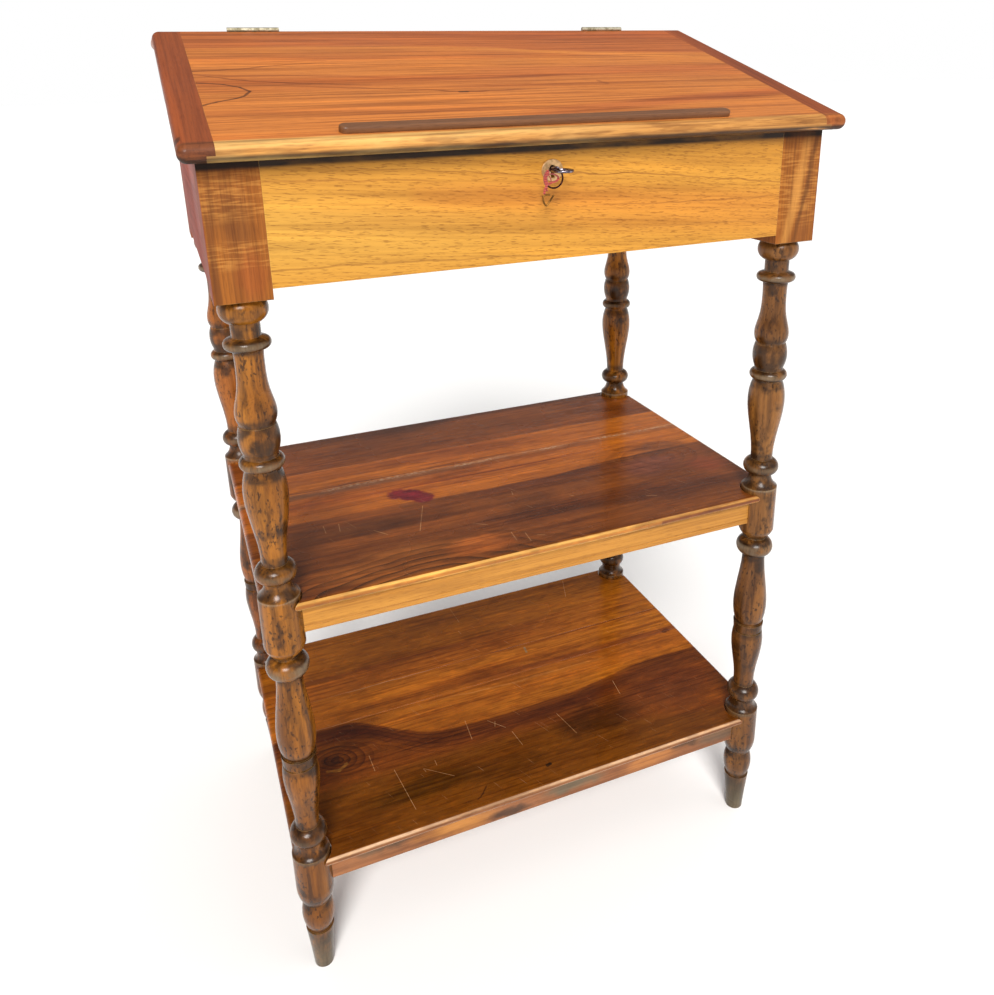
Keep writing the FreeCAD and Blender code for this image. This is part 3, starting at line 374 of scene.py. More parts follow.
# ---- walnut ----
def walnut(name, grain, pale, dark, streak, pith=(0.0, 0.05, 0.03), ring_mm=5.0, wander=0.03, rings=0.5,
           streaks=0.5, fine=0.35, pores=0.4, gloss=(0.28, 0.45), edge="#E0A45C", edge_wear=0.5, coat=0.25,
           shine=0.4, glow=0.35, pore_mm=16.0, soil=0.0, mottle=0.0, coat_rough=0.12, matt_above=None,
           turn=SHELF_FACE, figure=()):
    """Sawn and planed walnut, French-polished and worn: ring lines, fine streaks and drawn-out pores
    under a clear coat, darker heartwood in bands, and pale arrises where hands have rubbed it.
    rings, streaks, fine, glow, pores, soil and mottle say how strongly each of these shows."""
    material, tree, shader = new_material(name)
    stand = add(tree, "TexCoord").outputs["Object"]
    place = add(tree, "Mapping", {"Vector": stand, "Rotation": grain, "Location": pith}).outputs[0]
    colour = stain_over(tree, linear(pale), ring_lines(tree, place, ring_mm, wander), rings, dark)
    bands = stretched_noise(tree, place, 1.2, 20.0, low=0.42, high=0.66)
    colour = stain_over(tree, colour, bands, streaks, streak)
    face = lay_flat(tree, stand, turn, place)
    for layer in figure:
        colour = layer(face, colour)
    lit = stretched_noise(tree, place, 2.0, 42.0, 4.0, 0.50, 0.66)
    colour = deepen(tree, colour, lit, glow, (1.75, 1.7, 1.4))
    colour = deepen(tree, colour, stretched_noise(tree, place, 2.6, 75.0, 5.0, 0.50, 0.68), fine)
    colour = deepen(tree, colour, stretched_noise(tree, place, 6.0, 300.0, 4.0, 0.46, 0.66), fine)
    # walnut's pores are 0.2 mm wide; they are drawn 0.8 mm wide so that they show
    pore = stretched_noise(tree, place, 1000.0 / pore_mm, 1150.0, 1.0, 0.56, 0.70)
    colour = deepen(tree, colour, pore, pores)
    if soil:
        clouds = stretched_noise(tree, place, 7.0, 20.0, 5.0, 0.48, 0.66)
        colour = deepen(tree, colour, clouds, soil)
        across = add(tree, "Mapping", {"Vector": stand, "Rotation": (0.0, 0.0, 1.15)}).outputs[0]
        scuffs = stretched_noise(tree, across, 26.0, 900.0, 1.0, 0.75, 0.80)
        colour = stain_over(tree, colour, scuffs, 0.3, "#D0A078")
    if mottle:
        blot = stretched_noise(tree, place, 34.0, 120.0, 6.0, 0.46, 0.62)
        colour = deepen(tree, colour, blot, mottle)
        spark = stretched_noise(tree, place, 60.0, 210.0, 6.0, 0.52, 0.66)
        colour = deepen(tree, colour, spark, mottle, (1.7, 1.55, 1.2))
    worn, rounded = worn_edges(tree, 0.0009)
    patchy = stretched_noise(tree, stand, 25.0, 25.0, low=0.3, high=0.65)
    colour = stain_over(tree, colour, together(tree, worn, patchy), edge_wear, edge)
    tree.links.new(colour, shader.inputs["Base Color"])
    polish = stretched_noise(tree, stand, 7.0, 7.0, 4.0, 0.3, 0.7)
    rough = add(tree, "MapRange", {"Value": polish, "To Min": gloss[0], "To Max": gloss[1]}).outputs[0]
    shader.inputs["Coat Weight"].default_value = coat
    if matt_above:
        # a leg's square post has lost its polish, the turned part below it hasn't
        high = add(tree, "SeparateXYZ", {0: stand}).outputs["Z"]
        start = matt_above / 1000
        matt = add(tree, "MapRange", {"Value": high, "From Min": start, "From Max": start + 0.001}).outputs[0]
        rough = add(tree, "Mix", {0: matt, 2: rough, 3: 0.62}).outputs[0]
        matt_coat = add(tree, "Mix", {0: matt, 2: coat, 3: 0.0}).outputs[0]
        tree.links.new(matt_coat, shader.inputs["Coat Weight"])
    tree.links.new(rough, shader.inputs["Roughness"])
    relief = add(tree, "Math", {0: pore, 1: -1.0}, operation="MULTIPLY").outputs[0]
    bump = add(tree, "Bump", {"Strength": 0.2, "Distance": 0.0003, "Height": relief, "Normal": rounded})
    tree.links.new(bump.outputs[0], shader.inputs["Normal"])
    shader.inputs["IOR"].default_value = 1.5
    shader.inputs["Specular IOR Level"].default_value = shine
    shader.inputs["Coat Roughness"].default_value = coat_rough
    return material


# ---- lid ----
def nosing(code, most):
    """The rounded front edge of the lid: a colour laid over it (on the boards a paler gold, partly wear and
    partly a painted highlight), darker mottles, and painted shade on its lower half, broken in patches.
    """
    def layer(face, colour):
        tree = face.tree
        under = add(tree, "SeparateXYZ", {0: face.flat})
        edge = add(tree, "MapRange", {"Value": under.outputs["Y"], "From Min": NOSING_MM[0],
                                      "From Max": NOSING_MM[1]}).outputs[0]
        colour = stain_over(tree, colour, edge, most, code)
        worn = stretched_noise(tree, face.stand, 22.0, 190.0, 5.0, 0.46, 0.62)
        colour = deepen(tree, colour, together(tree, worn, edge), 0.55)
        # painted shade on the lower half of the rounded edge, broken in patches
        low = add(tree, "MapRange", {"Value": under.outputs["Z"], "From Min": NOSING_UNDER_MM[0],
                                     "From Max": NOSING_UNDER_MM[1]}, **SMOOTH).outputs[0]
        patchy_shade = stretched_noise(tree, face.stand, 14.0, 130.0, 4.0, 0.22, 0.42)
        return stain_over(tree, colour, together(tree, low, edge, patchy_shade), 0.9, "#2A160A")
    return layer


def lid_figure():
    """Long streaks that spread from the left, a dark tongue beside the end, a knot before the middle."""
    tongue = ((-346, -201), (-314, -209), (-299, -220), (-290, -234), (-298, -249), (-307, -256),
              (-327, -265), (-346, -277))
    return (
        beside("#9C4A26", 0.55, ((-345, -74), (-200, -70), (0, -78), (100, -96), (340, -118)), 4.0),
        vein("#B4602C", 26.0, ((-60, -180, 0.0), (60, -182, 0.5), (340, -186, 0.7))),
        vein("#AC562A", 22.0, ((-40, -338, 0.0), (100, -318, 0.5), (340, -288, 0.6))),
        vein("#B8662E", 16.0, ((-345, -300, 0.4), (-150, -306, 0.3), (0, -312, 0.0))),
        vein("#D8883C", 9.0, ((-345, -88, 0.0), (0, -92, 0.3), (150, -112, 0.5), (340, -140, 0.4))),
        vein("#6A3012", 2.6, ((-345, -163, 0.7), (-300, -159, 0.6), (-250, -147, 0.6), (-190, -138, 0.0))),
        vein("#7A3A18", 2.2, ((-270, -132, 0.0), (-225, -130, 0.6), (-190, -130, 0.0))),
        vein("#6A3012", 2.6, ((-345, -172, 0.4), (-275, -204, 0.7), (-203, -219, 0.6), (-160, -226, 0.0))),
        vein("#743614", 3.0, ((-290, -214, 0.0), (-200, -231, 0.5), (-110, -244, 0.6), (-62, -254, 0.8),
                              (40, -254, 0.0))),
        vein("#8A4420", 5.0, ((-345, -176, 0.5), (-200, -190, 0.4), (-20, -208, 0.5), (90, -200, 0.0))),
        vein("#8A4420", 2.5, ((-345, -322, 0.3), (-120, -318, 0.4), (0, -322, 0.0))),
        mark("#4A2410", 0.75, 1.9, tongue, 3.0),
        mark("#3C1C0C", 0.7, 3.0, ((-66, -254), (-58, -255)), 4.0),
        mark("#7A3E1C", 0.4, 4.0, ((122, -226), (128, -236)), 8.0),
        nosing("#BC8644", 0.9),
        # painted highlight along the crown of the lid's rounded edge
        vein("#E8C880", 9.0, ((-345, -379, 0.4), (-150, -379, 0.35), (100, -379, 0.0))),
    )


def dress_lid():
    figure = lid_figure()
    for node, pith in (("lid_board_back", (0.1, -0.5, -1.05)), ("lid_board_middle", (0.0, -0.25, -1.12)),
                       ("lid_board_front", (0.0, -0.25, -1.12))):
        dress(node, walnut(
            "orange_walnut_" + node, LID_ACROSS, "#C87834", "#7C3F1C", "#A04E20", pith=pith, ring_mm=8.0,
            rings=0.35, fine=0.5, pores=0.35, edge="#D89C50", edge_wear=0.45, coat=0.1, shine=0.25,
            gloss=(0.42, 0.6), turn=LID_FACE, figure=figure))
    for side, depth, crown in (("left", 0.0, "#6A3A1C"), ("right", 0.4, "#A8622C")):
        dress("lid_end_" + side, walnut(
            "red_walnut_lid_end_" + side, LID_DOWN, "#8E461E", "#5C2A14", "#7C3A1C", pith=(depth, 0.0, -1.1),
            rings=0.35, pores=0.3, coat=0.1, shine=0.25, gloss=(0.42, 0.6), turn=LID_FACE,
            figure=(mark("#2E1A10", 0.7, 4.0, ((-371, -357), (-371, -362)), 4.0), nosing(crown, 0.8))))
    dress("top_board", walnut(
        "red_walnut_top", ALONG_X, "#B06436", "#6E3A20", "#96502C", pith=(0.2, -0.2, -1.22), ring_mm=7.0,
        rings=0.35, coat=0.1, shine=0.3, gloss=(0.4, 0.55)))
    dress("pen_ledge", walnut(
        "brown_walnut_ledge", LID_ACROSS, "#7A4E2C", "#3E2412", "#5E3A20", pith=(0.0, 0.3, -1.0), ring_mm=3.0,
        pores=0.5, edge="#C09468", edge_wear=0.8, coat=0.1))


# ---- case ----
def painted_shade_under_lid():
    """Painted shade in the corner under the lid's edge, where the lid's shadow falls."""
    def layer(face, colour):
        tree = face.tree
        cut = add(tree, "SeparateXYZ", {0: face.stand})
        corner = add(tree, "MapRange", {"Value": cut.outputs["Z"], "From Min": LID_CORNER[0],
                                        "From Max": LID_CORNER[1]}, **SMOOTH).outputs[0]
        front = add(tree, "MapRange", {"Value": cut.outputs["Y"], "From Min": CASE_FRONT[0],
                                       "From Max": CASE_FRONT[1]}).outputs[0]
        thin = add(tree, "MapRange", {"Value": cut.outputs["Z"], "From Min": LID_COVER[0],
                                      "From Max": LID_COVER[1], "To Min": 1.0, "To Max": 0.25}).outputs[0]
        uneven = stretched_noise(tree, face.stand, 16.0, 60.0, 4.0, 0.25, 0.55)
        uneven = add(tree, "MapRange", {"Value": uneven, "To Min": 0.78, "To Max": 1.0}).outputs[0]
        share = together(tree, corner, front, thin, uneven)
        # painted shade: near black under the lid's edge, uneven along its length
        return stain_over(tree, colour, share, 0.98, "#160A04")
    return layer


def dress_case():
    figure = (
        vein("#C69640", 60.0, ((-305, 985, 0.7), (-160, 975, 0.5), (0, 965, 0.1), (100, 960, 0.0))),
        vein("#C07A2C", 40.0, ((-305, 1000, 0.0), (-100, 1004, 0.3), (60, 985, 0.5), (305, 962, 0.6))),
        vein("#B8742A", 18.0, ((-160, 1012, 0.0), (-40, 1004, 0.6), (120, 990, 0.4), (305, 976, 0.3))),
        vein("#7E4A1A", 1.3, ((-250, 1046, 0.0), (-150, 1037, 0.4), (-82, 1031, 0.5), (-13, 1026, 0.5),
                              (45, 1022, 0.6), (119, 1018, 0.6), (201, 1009, 0.5), (305, 997, 0.6))),
        vein("#8A5420", 1.3, ((20, 990, 0.0), (120, 985, 0.5), (190, 982, 0.6), (305, 981, 0.2))),
        vein("#9A6226", 1.5, ((-305, 1036, 0.4), (-200, 1030, 0.5), (-110, 1022, 0.0))),
        vein("#8A5A22", 1.6, ((-305, 949, 0.6), (-200, 946, 0.5), (-80, 941, 0.4), (60, 934, 0.3))),
        vein("#A06A2A", 2.0, ((60, 962, 0.0), (170, 957, 0.4), (305, 950, 0.3))),
        # painted shade under the lid's edge
        painted_shade_under_lid(),
    )
    dress("front_panel", walnut(
        "golden_walnut_panel", FALLING_X, "#C48A32", "#7E4C18", "#A46A20", pith=(0.0, 0.30, -1.40),
        ring_mm=13.0, wander=0.05, rings=0.2, streaks=0.4, glow=0.2, fine=0.25, pores=0.6, pore_mm=9.0,
        edge="#E4B060", coat=0.08, shine=0.22, gloss=(0.4, 0.55), turn=FRONT_FACE, figure=figure))
    for side, depth in (("left", 0.2), ("right", 0.31)):
        dress("side_panel_" + side, walnut(
            "red_walnut_side_" + side, ALONG_Y, "#96483A", "#5E2A1C", "#823A30", pith=(depth, 0.1, -1.3),
            ring_mm=7.0, rings=0.3, coat=0.0, shine=0.1, gloss=(0.5, 0.7)))
    dress("back_panel", walnut(
        "brown_walnut_back", ALONG_X, "#96643A", "#4C2E1A", "#7A4A2A", pith=(0.4, 0.2, -1.1), ring_mm=8.0,
        coat=0.1, gloss=(0.45, 0.6)))
    bare = walnut("bare_pine", ALONG_X, "#A8804E", "#70502A", "#8C683C", ring_mm=6.0, coat=0.0,
                  gloss=(0.6, 0.8))
    for node in ("hinge_rail", "bottom_board_front", "bottom_board_middle", "bottom_board_back",
                 "bottom_cleat_front", "bottom_cleat_back", "bottom_cleat_left", "bottom_cleat_right"):
        dress(node, bare)


# ---- shelves ----
def scratches(ends):
    """Fine pale scratches, each from one end to the other."""
    return tuple(mark("#D8A878", 0.5, 0.5, pair) for pair in ends)


def gritty(code, across, half, most):
    """An old glue line, crumbled and dusty: pale grains along one line."""
    def layer(face, colour):
        tree = face.tree
        off = off_line(tree, face.across, across)
        near = add(tree, "MapRange", {"Value": off, "From Min": half, "From Max": 0.0}).outputs[0]
        grain = stretched_noise(tree, face.stand, 170.0, 700.0, 4.0, 0.44, 0.60)
        left = stretched_noise(tree, face.stand, 11.0, 11.0, 3.0, 0.30, 0.50)
        return stain_over(tree, colour, together(tree, near, grain, left), most, code)
    return layer


def upper_shelf_figure():
    """Orange sapwood in the middle, a gritty open joint, crotch figure at the left front, a red spill."""
    spill = ((-134, 4), (-118, -4), (-104, -20))
    return (
        beside("#7A3E16", 0.7, ((-355, 123), (-100, 123), (355, 120)), 1.5),
        beside("#4A2614", 0.6, ((-355, 236), (-60, 214), (60, 236), (355, 196)), 14.0),
        beside("#6A3818", 0.8, ((-355, -30), (-150, -33), (40, -38), (120, -34), (200, -26), (355, -22)),
               2.0, below=True),
        vein("#6E4A34", 11.0, ((-355, 48, 0.8), (-150, 47, 0.75), (60, 50, 0.4), (355, 48, 0.25))),
        vein("#5C3022", 2.2, ((-355, 60, 0.3), (-30, 61, 0.7), (150, 60, 0.3), (355, 61, 0.5))),
        gritty("#D0B494", 54.5, 6.0, 0.85),
        vein("#8A3E1C", 3.0, ((-300, 20, 0.0), (-100, 15, 0.6), (50, 14, 0.5), (200, 20, 0.4),
                              (355, 18, 0.2))),
        vein("#5E2E1C", 14.0, ((-60, -44, 0.0), (40, -48, 0.5), (180, -44, 0.4), (355, -60, 0.2))),
        patch("#9E5C26", 0.75, (-180, -182), (140, 52)),
        swirl("#38200E", 0.9, (-165, -232), (2.2, 1.0), 12.0, 126.0),
        patch("#C06A2C", 0.6, (-80, -178), (60, 28)),
        patch("#4A3430", 0.45, (278, -14), (60, 26)),
        patch("#8A5048", 0.35, (232, -70), (70, 40)),
        patch("#8E4024", 0.5, (312, -96), (40, 30)),
        swirl("#4A2418", 0.40, (262, -45), (1.5, 1.0), 14.0, 76.0),
        mark("#B4742C", 0.75, 1.8, ((-355, SHELF_FRONT_MM), (160, SHELF_FRONT_MM))),
        # painted highlight along the crown of the front arris
        arris("#ECB660", SHELF_ARRIS_MM, 1.6, ((-355, 0.3), (-290, 0.8), (80, 0.8), (180, 0.45),
                                               (355, 0.35))),
        patch("#3E1E18", 0.5, (240, -150), (110, 40)),
        patch("#3A1E0E", 0.5, (-190, -80), (80, 30)),
        patch("#3E2010", 0.4, (20, -100), (60, 30)),
        vein("#4E2A1A", 16.0, ((-60, -120, 0.0), (60, -140, 0.5), (180, -150, 0.2), (300, -150, 0.0))),
        mark("#6E1422", 0.92, 19.0, spill, 12.0),
        mark("#8E2430", 0.45, 8.0, spill, 9.0),
    ) + scratches((((-118, -49), (-141, -114)), ((-255, -50), (-255, -70)), ((-235, -52), (-237, -72)),
                   ((-196, -88), (-182, -106)), ((-71, -123), (-55, -136)), ((-34, -166), (-35, -188)),
                   ((-18, -174), (-19, -196)), ((-6, -186), (3, -190)), ((176, -150), (190, -156)),
                   ((10, -60), (8, -70)), ((80, -104), (84, -108))))


def lower_shelf_figure():
    """Orange boards behind, a dark figured one before them that curls round a knot at the left."""
    shore = ((-300, 21), (-262, 20), (-232, 14), (-200, -4), (-160, -34), (-130, -50), (-90, -58), (0, -61),
             (90, -58), (160, -50), (210, -41), (355, -36))
    lines = tuple(vein("#3E140A", 2.2, tuple((x, y - step, fade if x < -60 else fade * 0.35)
                                             for x, y in shore))
                  for step, fade in ((7, 0.6), (15, 0.5), (24, 0.55), (34, 0.4), (45, 0.35)))
    depths = (0.5, 0.7, 0.8, 0.7, 0.5, 0.35, 0.35, 0.5, 0.6, 0.6, 0.5, 0.4)
    return (
        beside("#985812", 0.8, ((-355, 126), (-100, 128), (0, 132), (100, 140), (220, 144), (355, 150)), 2.5),
        vein("#6E3416", 8.0, ((-355, 134, 0.5), (-50, 133, 0.6), (80, 142, 0.2), (355, 152, 0.3))),
        vein("#6A2E16", 11.0, ((-100, 34, 0.0), (20, 30, 0.5), (120, 26, 0.6), (355, 24, 0.7))),
        vein("#C27C38", 2.5, ((-120, 12, 0.0), (-60, 8, 0.5), (0, 3, 0.7), (140, 0, 0.5), (200, -2, 0.0))),
        vein("#C89060", 1.3, ((-225, 87, 0.0), (-200, 86.5, 0.7), (-100, 86.5, 0.6), (-80, 87, 0.0))),
        vein("#54280F", 2.2, ((20, 87, 0.0), (50, 87, 0.7), (120, 84, 0.1), (300, 86, 0.6),
                              (355, 86, 0.4))),
        vein("#C88A58", 1.2, ((-290, 21, 0.7), (-240, 20, 0.6), (-200, 24, 0.0))),
        beside("#68320E", 0.8, shore, 2.0, below=True),
        vein("#3C160E", 22.0, tuple((x, y - 20, depth) for (x, y), depth in zip(shore, depths))),
    ) + lines + (
        beside("#6E400C", 0.6, ((-355, -100), (-150, -100), (60, -112), (200, -160), (355, -190)), 12.0,
               below=True),
        swirl("#3A160A", 0.9, (-268, -50), (1.5, 1.0), 7.5, 50.0),
        mark("#1E0E10", 0.6, 11.0, ((-280, -43), (-268, -45)), 10.0),
        mark("#B07A34", 0.5, 3.2, ((-284, -66), (-268, -70), (-256, -62)), 5.0),
        patch("#4A2C08", 0.7, (-165, -150), (110, 30)),
        patch("#4E2A0A", 0.5, (-40, -165), (90, 26)),
        patch("#34190A", 0.7, (120, -125), (95, 44)),
        patch("#5A2A16", 0.5, (260, -110), (120, 60)),
        mark("#8A5A38", 0.7, 1.8, ((-355, SHELF_FRONT_MM), (355, SHELF_FRONT_MM))),
        # painted highlight along the crown of the front arris
        arris("#E8C29C", SHELF_ARRIS_MM, 1.6, ((-355, 0.4), (-290, 0.75), (-210, 0.65), (-130, 0.4),
                                               (-40, 0.45), (120, 0.6), (355, 0.4))),
        mark("#2E1208", 0.7, 1.2, ((-86, -182), (-94, -192), (-104, -199)), 3.0),
        mark("#14100C", 0.85, 3.4, ((9, -181), (13, -180)), 3.0),
        mark("#3A1A0E", 0.7, 5.0, ((328, 22), (338, 24)), 6.0),
        mark("#8A8060", 0.6, 2.4, ((82, 66), (83, 78)), 3.0),
    ) + scratches((((-225, -62), (-224, -94)), ((-198, -103), (-189, -183)), ((-158, -118), (-122, -148)),
                   ((-159, -118), (-157, -124)), ((-72, -50), (-75, -91)), ((-14, -100), (-10, -132)),
                   ((64, -92), (74, -142)), ((-139, -109), (-139, -119)), ((0, 236), (2, 192)),
                   ((232, 238), (214, 186)), ((180, -60), (176, -92)), ((-8, 168), (-6, 158)),
                   ((-40, -64), (-20, -88)), ((-34, -80), (-30, -70))))


def dress_shelves():
    upper_figure, lower_figure = upper_shelf_figure(), lower_shelf_figure()
    polished = dict(ring_mm=11.0, rings=0.25, pores=0.3, soil=0.4, gloss=(0.16, 0.36), edge_wear=0.8)
    for number, part in enumerate(("front", "middle", "back")):
        dress("upper_shelf_" + part, walnut(
            "polished_walnut_upper_" + part, ALONG_X, "#BC6A20", "#5A2A10", "#94481A",
            pith=(number * 0.37, 0.35, -0.45), fine=0.45, mottle=0.26, coat=0.14, shine=0.3,
            edge="#D89A60", figure=upper_figure, **polished))
        dress("lower_shelf_" + part, walnut(
            "polished_walnut_lower_" + part, ALONG_X, "#A25A18", "#4A220A", "#B66E1A",
            pith=(0.2 + number * 0.41, 0.35, -0.06), fine=0.5, mottle=0.32, coat=0.1, shine=0.2,
            edge="#D09070", figure=lower_figure, **polished))
    stains = tuple(patch(code, most, centre, size) for code, most, centre, size in (
        ("#B87A34", 0.8, (-140, 158), (80, 16)), ("#5A4A38", 0.8, (-235, 168), (60, 16)),
        ("#3E2A1C", 0.8, (-60, 152), (40, 12)), ("#5E5A48", 0.8, (40, 162), (60, 16)),
        ("#B47438", 0.7, (160, 156), (70, 16)), ("#44301E", 0.8, (226, 164), (36, 12)),
        ("#64503C", 0.8, (290, 160), (60, 16))))
    for part, grain in (("front", ALONG_X), ("back", ALONG_X), ("left", ALONG_Y), ("right", ALONG_Y)):
        dress("upper_rail_" + part, walnut(
            "golden_walnut_rail_" + part, grain, "#BC8234", "#7E4C1A", "#A06A24", pith=(0.1, 0.1, -0.5),
            ring_mm=9.0, rings=0.25, coat=0.1, shine=0.25, gloss=(0.4, 0.55)))
        dress("lower_rail_" + part, walnut(
            "dull_walnut_rail_" + part, grain, "#98623A", "#4E3220", "#7E4A28", pith=(0.3, 0.1, -0.12),
            ring_mm=8.0, rings=0.3, coat=0.1, shine=0.3, soil=0.6, gloss=(0.4, 0.6), turn=FRONT_FACE,
            figure=stains))


# ---- legs ----
# turned members that hands and mops have left dark, as (lower end, upper end) in millimetres
DARK_MEMBERS = ((0, 68), (106, 124), (192, 238), (330, 352), (460, 494), (573, 622), (722, 788), (864, 886))


def curl(low, high):
    """Curly grain: pale ripples across the post between two heights."""
    def layer(face, colour):
        tree = face.tree
        tall = add(tree, "SeparateXYZ", {0: face.flat}).outputs["X"]
        middle, half = (low + high) / 2, (high - low) / 2
        off = off_line(tree, tall, middle)
        near = add(tree, "MapRange", {"Value": off, "From Min": half, "From Max": half * 0.5}).outputs[0]
        ripple = stretched_noise(tree, face.stand, 34.0, 420.0, 2.0, 0.44, 0.62)
        return stain_over(tree, colour, together(tree, near, ripple), 0.45, "#C88A40")
    return layer


def leg_figure(gold, grime):
    """What turning, hands and the floor have done to a leg, with painted shade and highlights, by its height
    and by its radius.
    """
    def layer(face, colour):
        tree, stand = face.tree, face.stand
        x, y, z = add(tree, "SeparateXYZ", {0: stand}).outputs
        high = add(tree, "Math", {0: z, 1: 1000.0}, operation="MULTIPLY").outputs[0]
        off_x = add(tree, "Math", {0: off_line(tree, x, 0.0), 1: LEG_X}, operation="SUBTRACT").outputs[0]
        off_y = add(tree, "Math", {0: off_line(tree, y, DESK_MIDDLE_Y), 1: LEG_Y},
                    operation="SUBTRACT").outputs[0]
        radius = add(tree, "VectorMath", {0: add(tree, "CombineXYZ", {0: off_x, 1: off_y}).outputs[0]},
                     operation="LENGTH").outputs["Value"]
        turned = add(tree, "MapRange", {"Value": high, "From Min": LEG_MM + 1, "From Max": LEG_MM}).outputs[0]
        # the turned part is in two browns, drawn out up the leg
        runs = stretched_noise(tree, face.grain, 7.0, 90.0, 4.0, 0.42, 0.62)
        brown = stain_over(tree, linear(gold), runs, 0.5, grime)
        blotches = stretched_noise(tree, face.grain, 16.0, 130.0, 5.0, 0.50, 0.62)
        brown = stain_over(tree, brown, blotches, 0.5, "#2E180A")
        shade = stretched_noise(tree, face.grain, 5.0, 16.0, 2.0, 0.45, 0.60)
        brown = deepen(tree, brown, shade, 0.5)
        colour = add(tree, "Mix", {0: turned, 6: colour, 7: brown}, data_type="RGBA").outputs[2]
        # the dark members
        stops, values = [], []
        for low, top in DARK_MEMBERS:
            stops += [low - 5, low + 2, top - 2, top + 9]
            values += [0.0, 1.0, 1.0, 0.0]
        dark = course(tree, high, stops, values)
        dark = together(tree, dark, stretched_noise(tree, stand, 55.0, 55.0, 4.0, 0.25, 0.62))
        colour = stain_over(tree, colour, dark, 0.9, "#33200F")
        # smears of black polish, and specks
        smear = stretched_noise(tree, stand, 30.0, 30.0, 4.0, 0.56, 0.68)
        colour = stain_over(tree, colour, together(tree, smear, turned), 0.75, "#24160C")
        speck = stretched_noise(tree, face.grain, 150.0, 300.0, 4.0, 0.55, 0.63)
        in_drifts = stretched_noise(tree, stand, 24.0, 24.0, 2.0, 0.38, 0.56)
        colour = stain_over(tree, colour, together(tree, speck, turned, in_drifts), 0.75, "#24160C")
        # crests of beads pale grey, partly wear and partly a painted highlight, and pale rims on the blocks
        crest = add(tree, "MapRange", {"Value": radius, "From Min": BEAD_R[0], "From Max": BEAD_R[1]},
                    **SMOOTH).outputs[0]
        colour = stain_over(tree, colour, together(tree, crest, dark), 0.5, "#968064")
        for rim in RIM_MM:
            off = off_line(tree, high, rim)
            line = add(tree, "MapRange", {"Value": off, "From Min": 2.4, "From Max": 1.0}).outputs[0]
            wide = add(tree, "MapRange", {"Value": radius, "From Min": BLOCK_R[0], "From Max": BLOCK_R[1]})
            colour = stain_over(tree, colour, together(tree, line, wide.outputs[0]), 0.75, "#CDBEA6")
        # painted shade darkens the lower half, and the feet are grey from the floor
        low = add(tree, "MapRange", {"Value": high, "From Min": 570.0, "From Max": 360.0}).outputs[0]
        colour = deepen(tree, colour, low, 0.38)
        damp = add(tree, "MapRange", {"Value": high, "From Min": 75.0, "From Max": 12.0}).outputs[0]
        colour = stain_over(tree, colour, damp, 0.7, "#5E5644")
        # the outer face of the square posts has the red of the sides
        out = add(tree, "MapRange", {"Value": off_x, "From Min": POST_OUTSIDE[0],
                                     "From Max": POST_OUTSIDE[1]}).outputs[0]
        out = add(tree, "Math", {0: out, 1: turned}, operation="SUBTRACT", use_clamp=True).outputs[0]
        colour = stain_over(tree, colour, out, 0.85, "#8A4438")
        # painted shade under the lid's edge, on the front faces of the posts
        return painted_shade_under_lid()(face, colour)
    return layer


def dress_legs():
    tones = {
        "leg_front_left": ("#A0641E", "#5E3A12", "#94561B"),
        "leg_front_right": ("#865828", "#4A3018", "#8E5218"),
        "leg_back_left": ("#985820", "#56320E", "#90501E"),
        "leg_back_right": ("#AA6A1C", "#553008", "#8A5218"),
    }
    posts = {
        "leg_front_left": [
            patch("#44260F", 0.3, (1004, -336), (30, 34)), curl(996.0, 1052.0), curl(950.0, 984.0),
            patch("#9A4A1C", 0.4, (948, -322), (36, 18)),
            vein("#4A2410", 5.0, ((920, -356, 0.6), (960, -357, 0.5), (1010, -352, 0.2)))],
        "leg_front_right": [
            vein("#D09448", 11.0, ((920, 316, 0.35), (975, 328, 0.5), (1010, 334, 0.4), (1050, 342, 0.2))),
            curl(935.0, 1050.0),
            vein("#4E2A10", 5.0, ((920, 330, 0.4), (985, 344, 0.6), (1056, 354, 0.5)))],
    }
    for node, (gold, grime, post) in tones.items():
        dress(node, walnut(
            "turned_walnut_" + node, ALONG_Z, post, "#4E2A14", "#7A4824", pith=(0.0, 0.06, 0.05), ring_mm=4.0,
            wander=0.05, rings=0.45, fine=0.3, glow=0.25, pores=0.3, gloss=(0.2, 0.36), coat=0.14,
            coat_rough=0.2, shine=0.22, edge="#B08850", matt_above=LEG_MM, turn=POST_FACE,
            figure=posts.get(node, []) + [leg_figure(gold, grime)]))


# ---- metal and tape ----
def aged_brass(name, bright, dull, tarnish=0.6, rough=(0.3, 0.55)):
    """Cast brass, filed and long untouched: dull brown patches over a pale yellow metal."""
    material, tree, shader = new_material(name)
    stand = add(tree, "TexCoord").outputs["Object"]
    patches = stretched_noise(tree, stand, 180.0, 180.0, 3.0, 0.4, 0.62)
    colour = stain_over(tree, linear(bright), patches, tarnish, dull)
    worn, rounded = worn_edges(tree, 0.0004)
    colour = stain_over(tree, colour, worn, 0.4, bright)
    tree.links.new(colour, shader.inputs["Base Color"])
    roughness = add(tree, "MapRange", {"Value": patches, "To Min": rough[0], "To Max": rough[1]}).outputs[0]
    tree.links.new(roughness, shader.inputs["Roughness"])
    bump = add(tree, "Bump", {"Strength": 0.2, "Distance": 0.0002, "Height": patches, "Normal": rounded})
    tree.links.new(bump.outputs[0], shader.inputs["Normal"])
    shader.inputs["Metallic"].default_value = 1.0
    return material


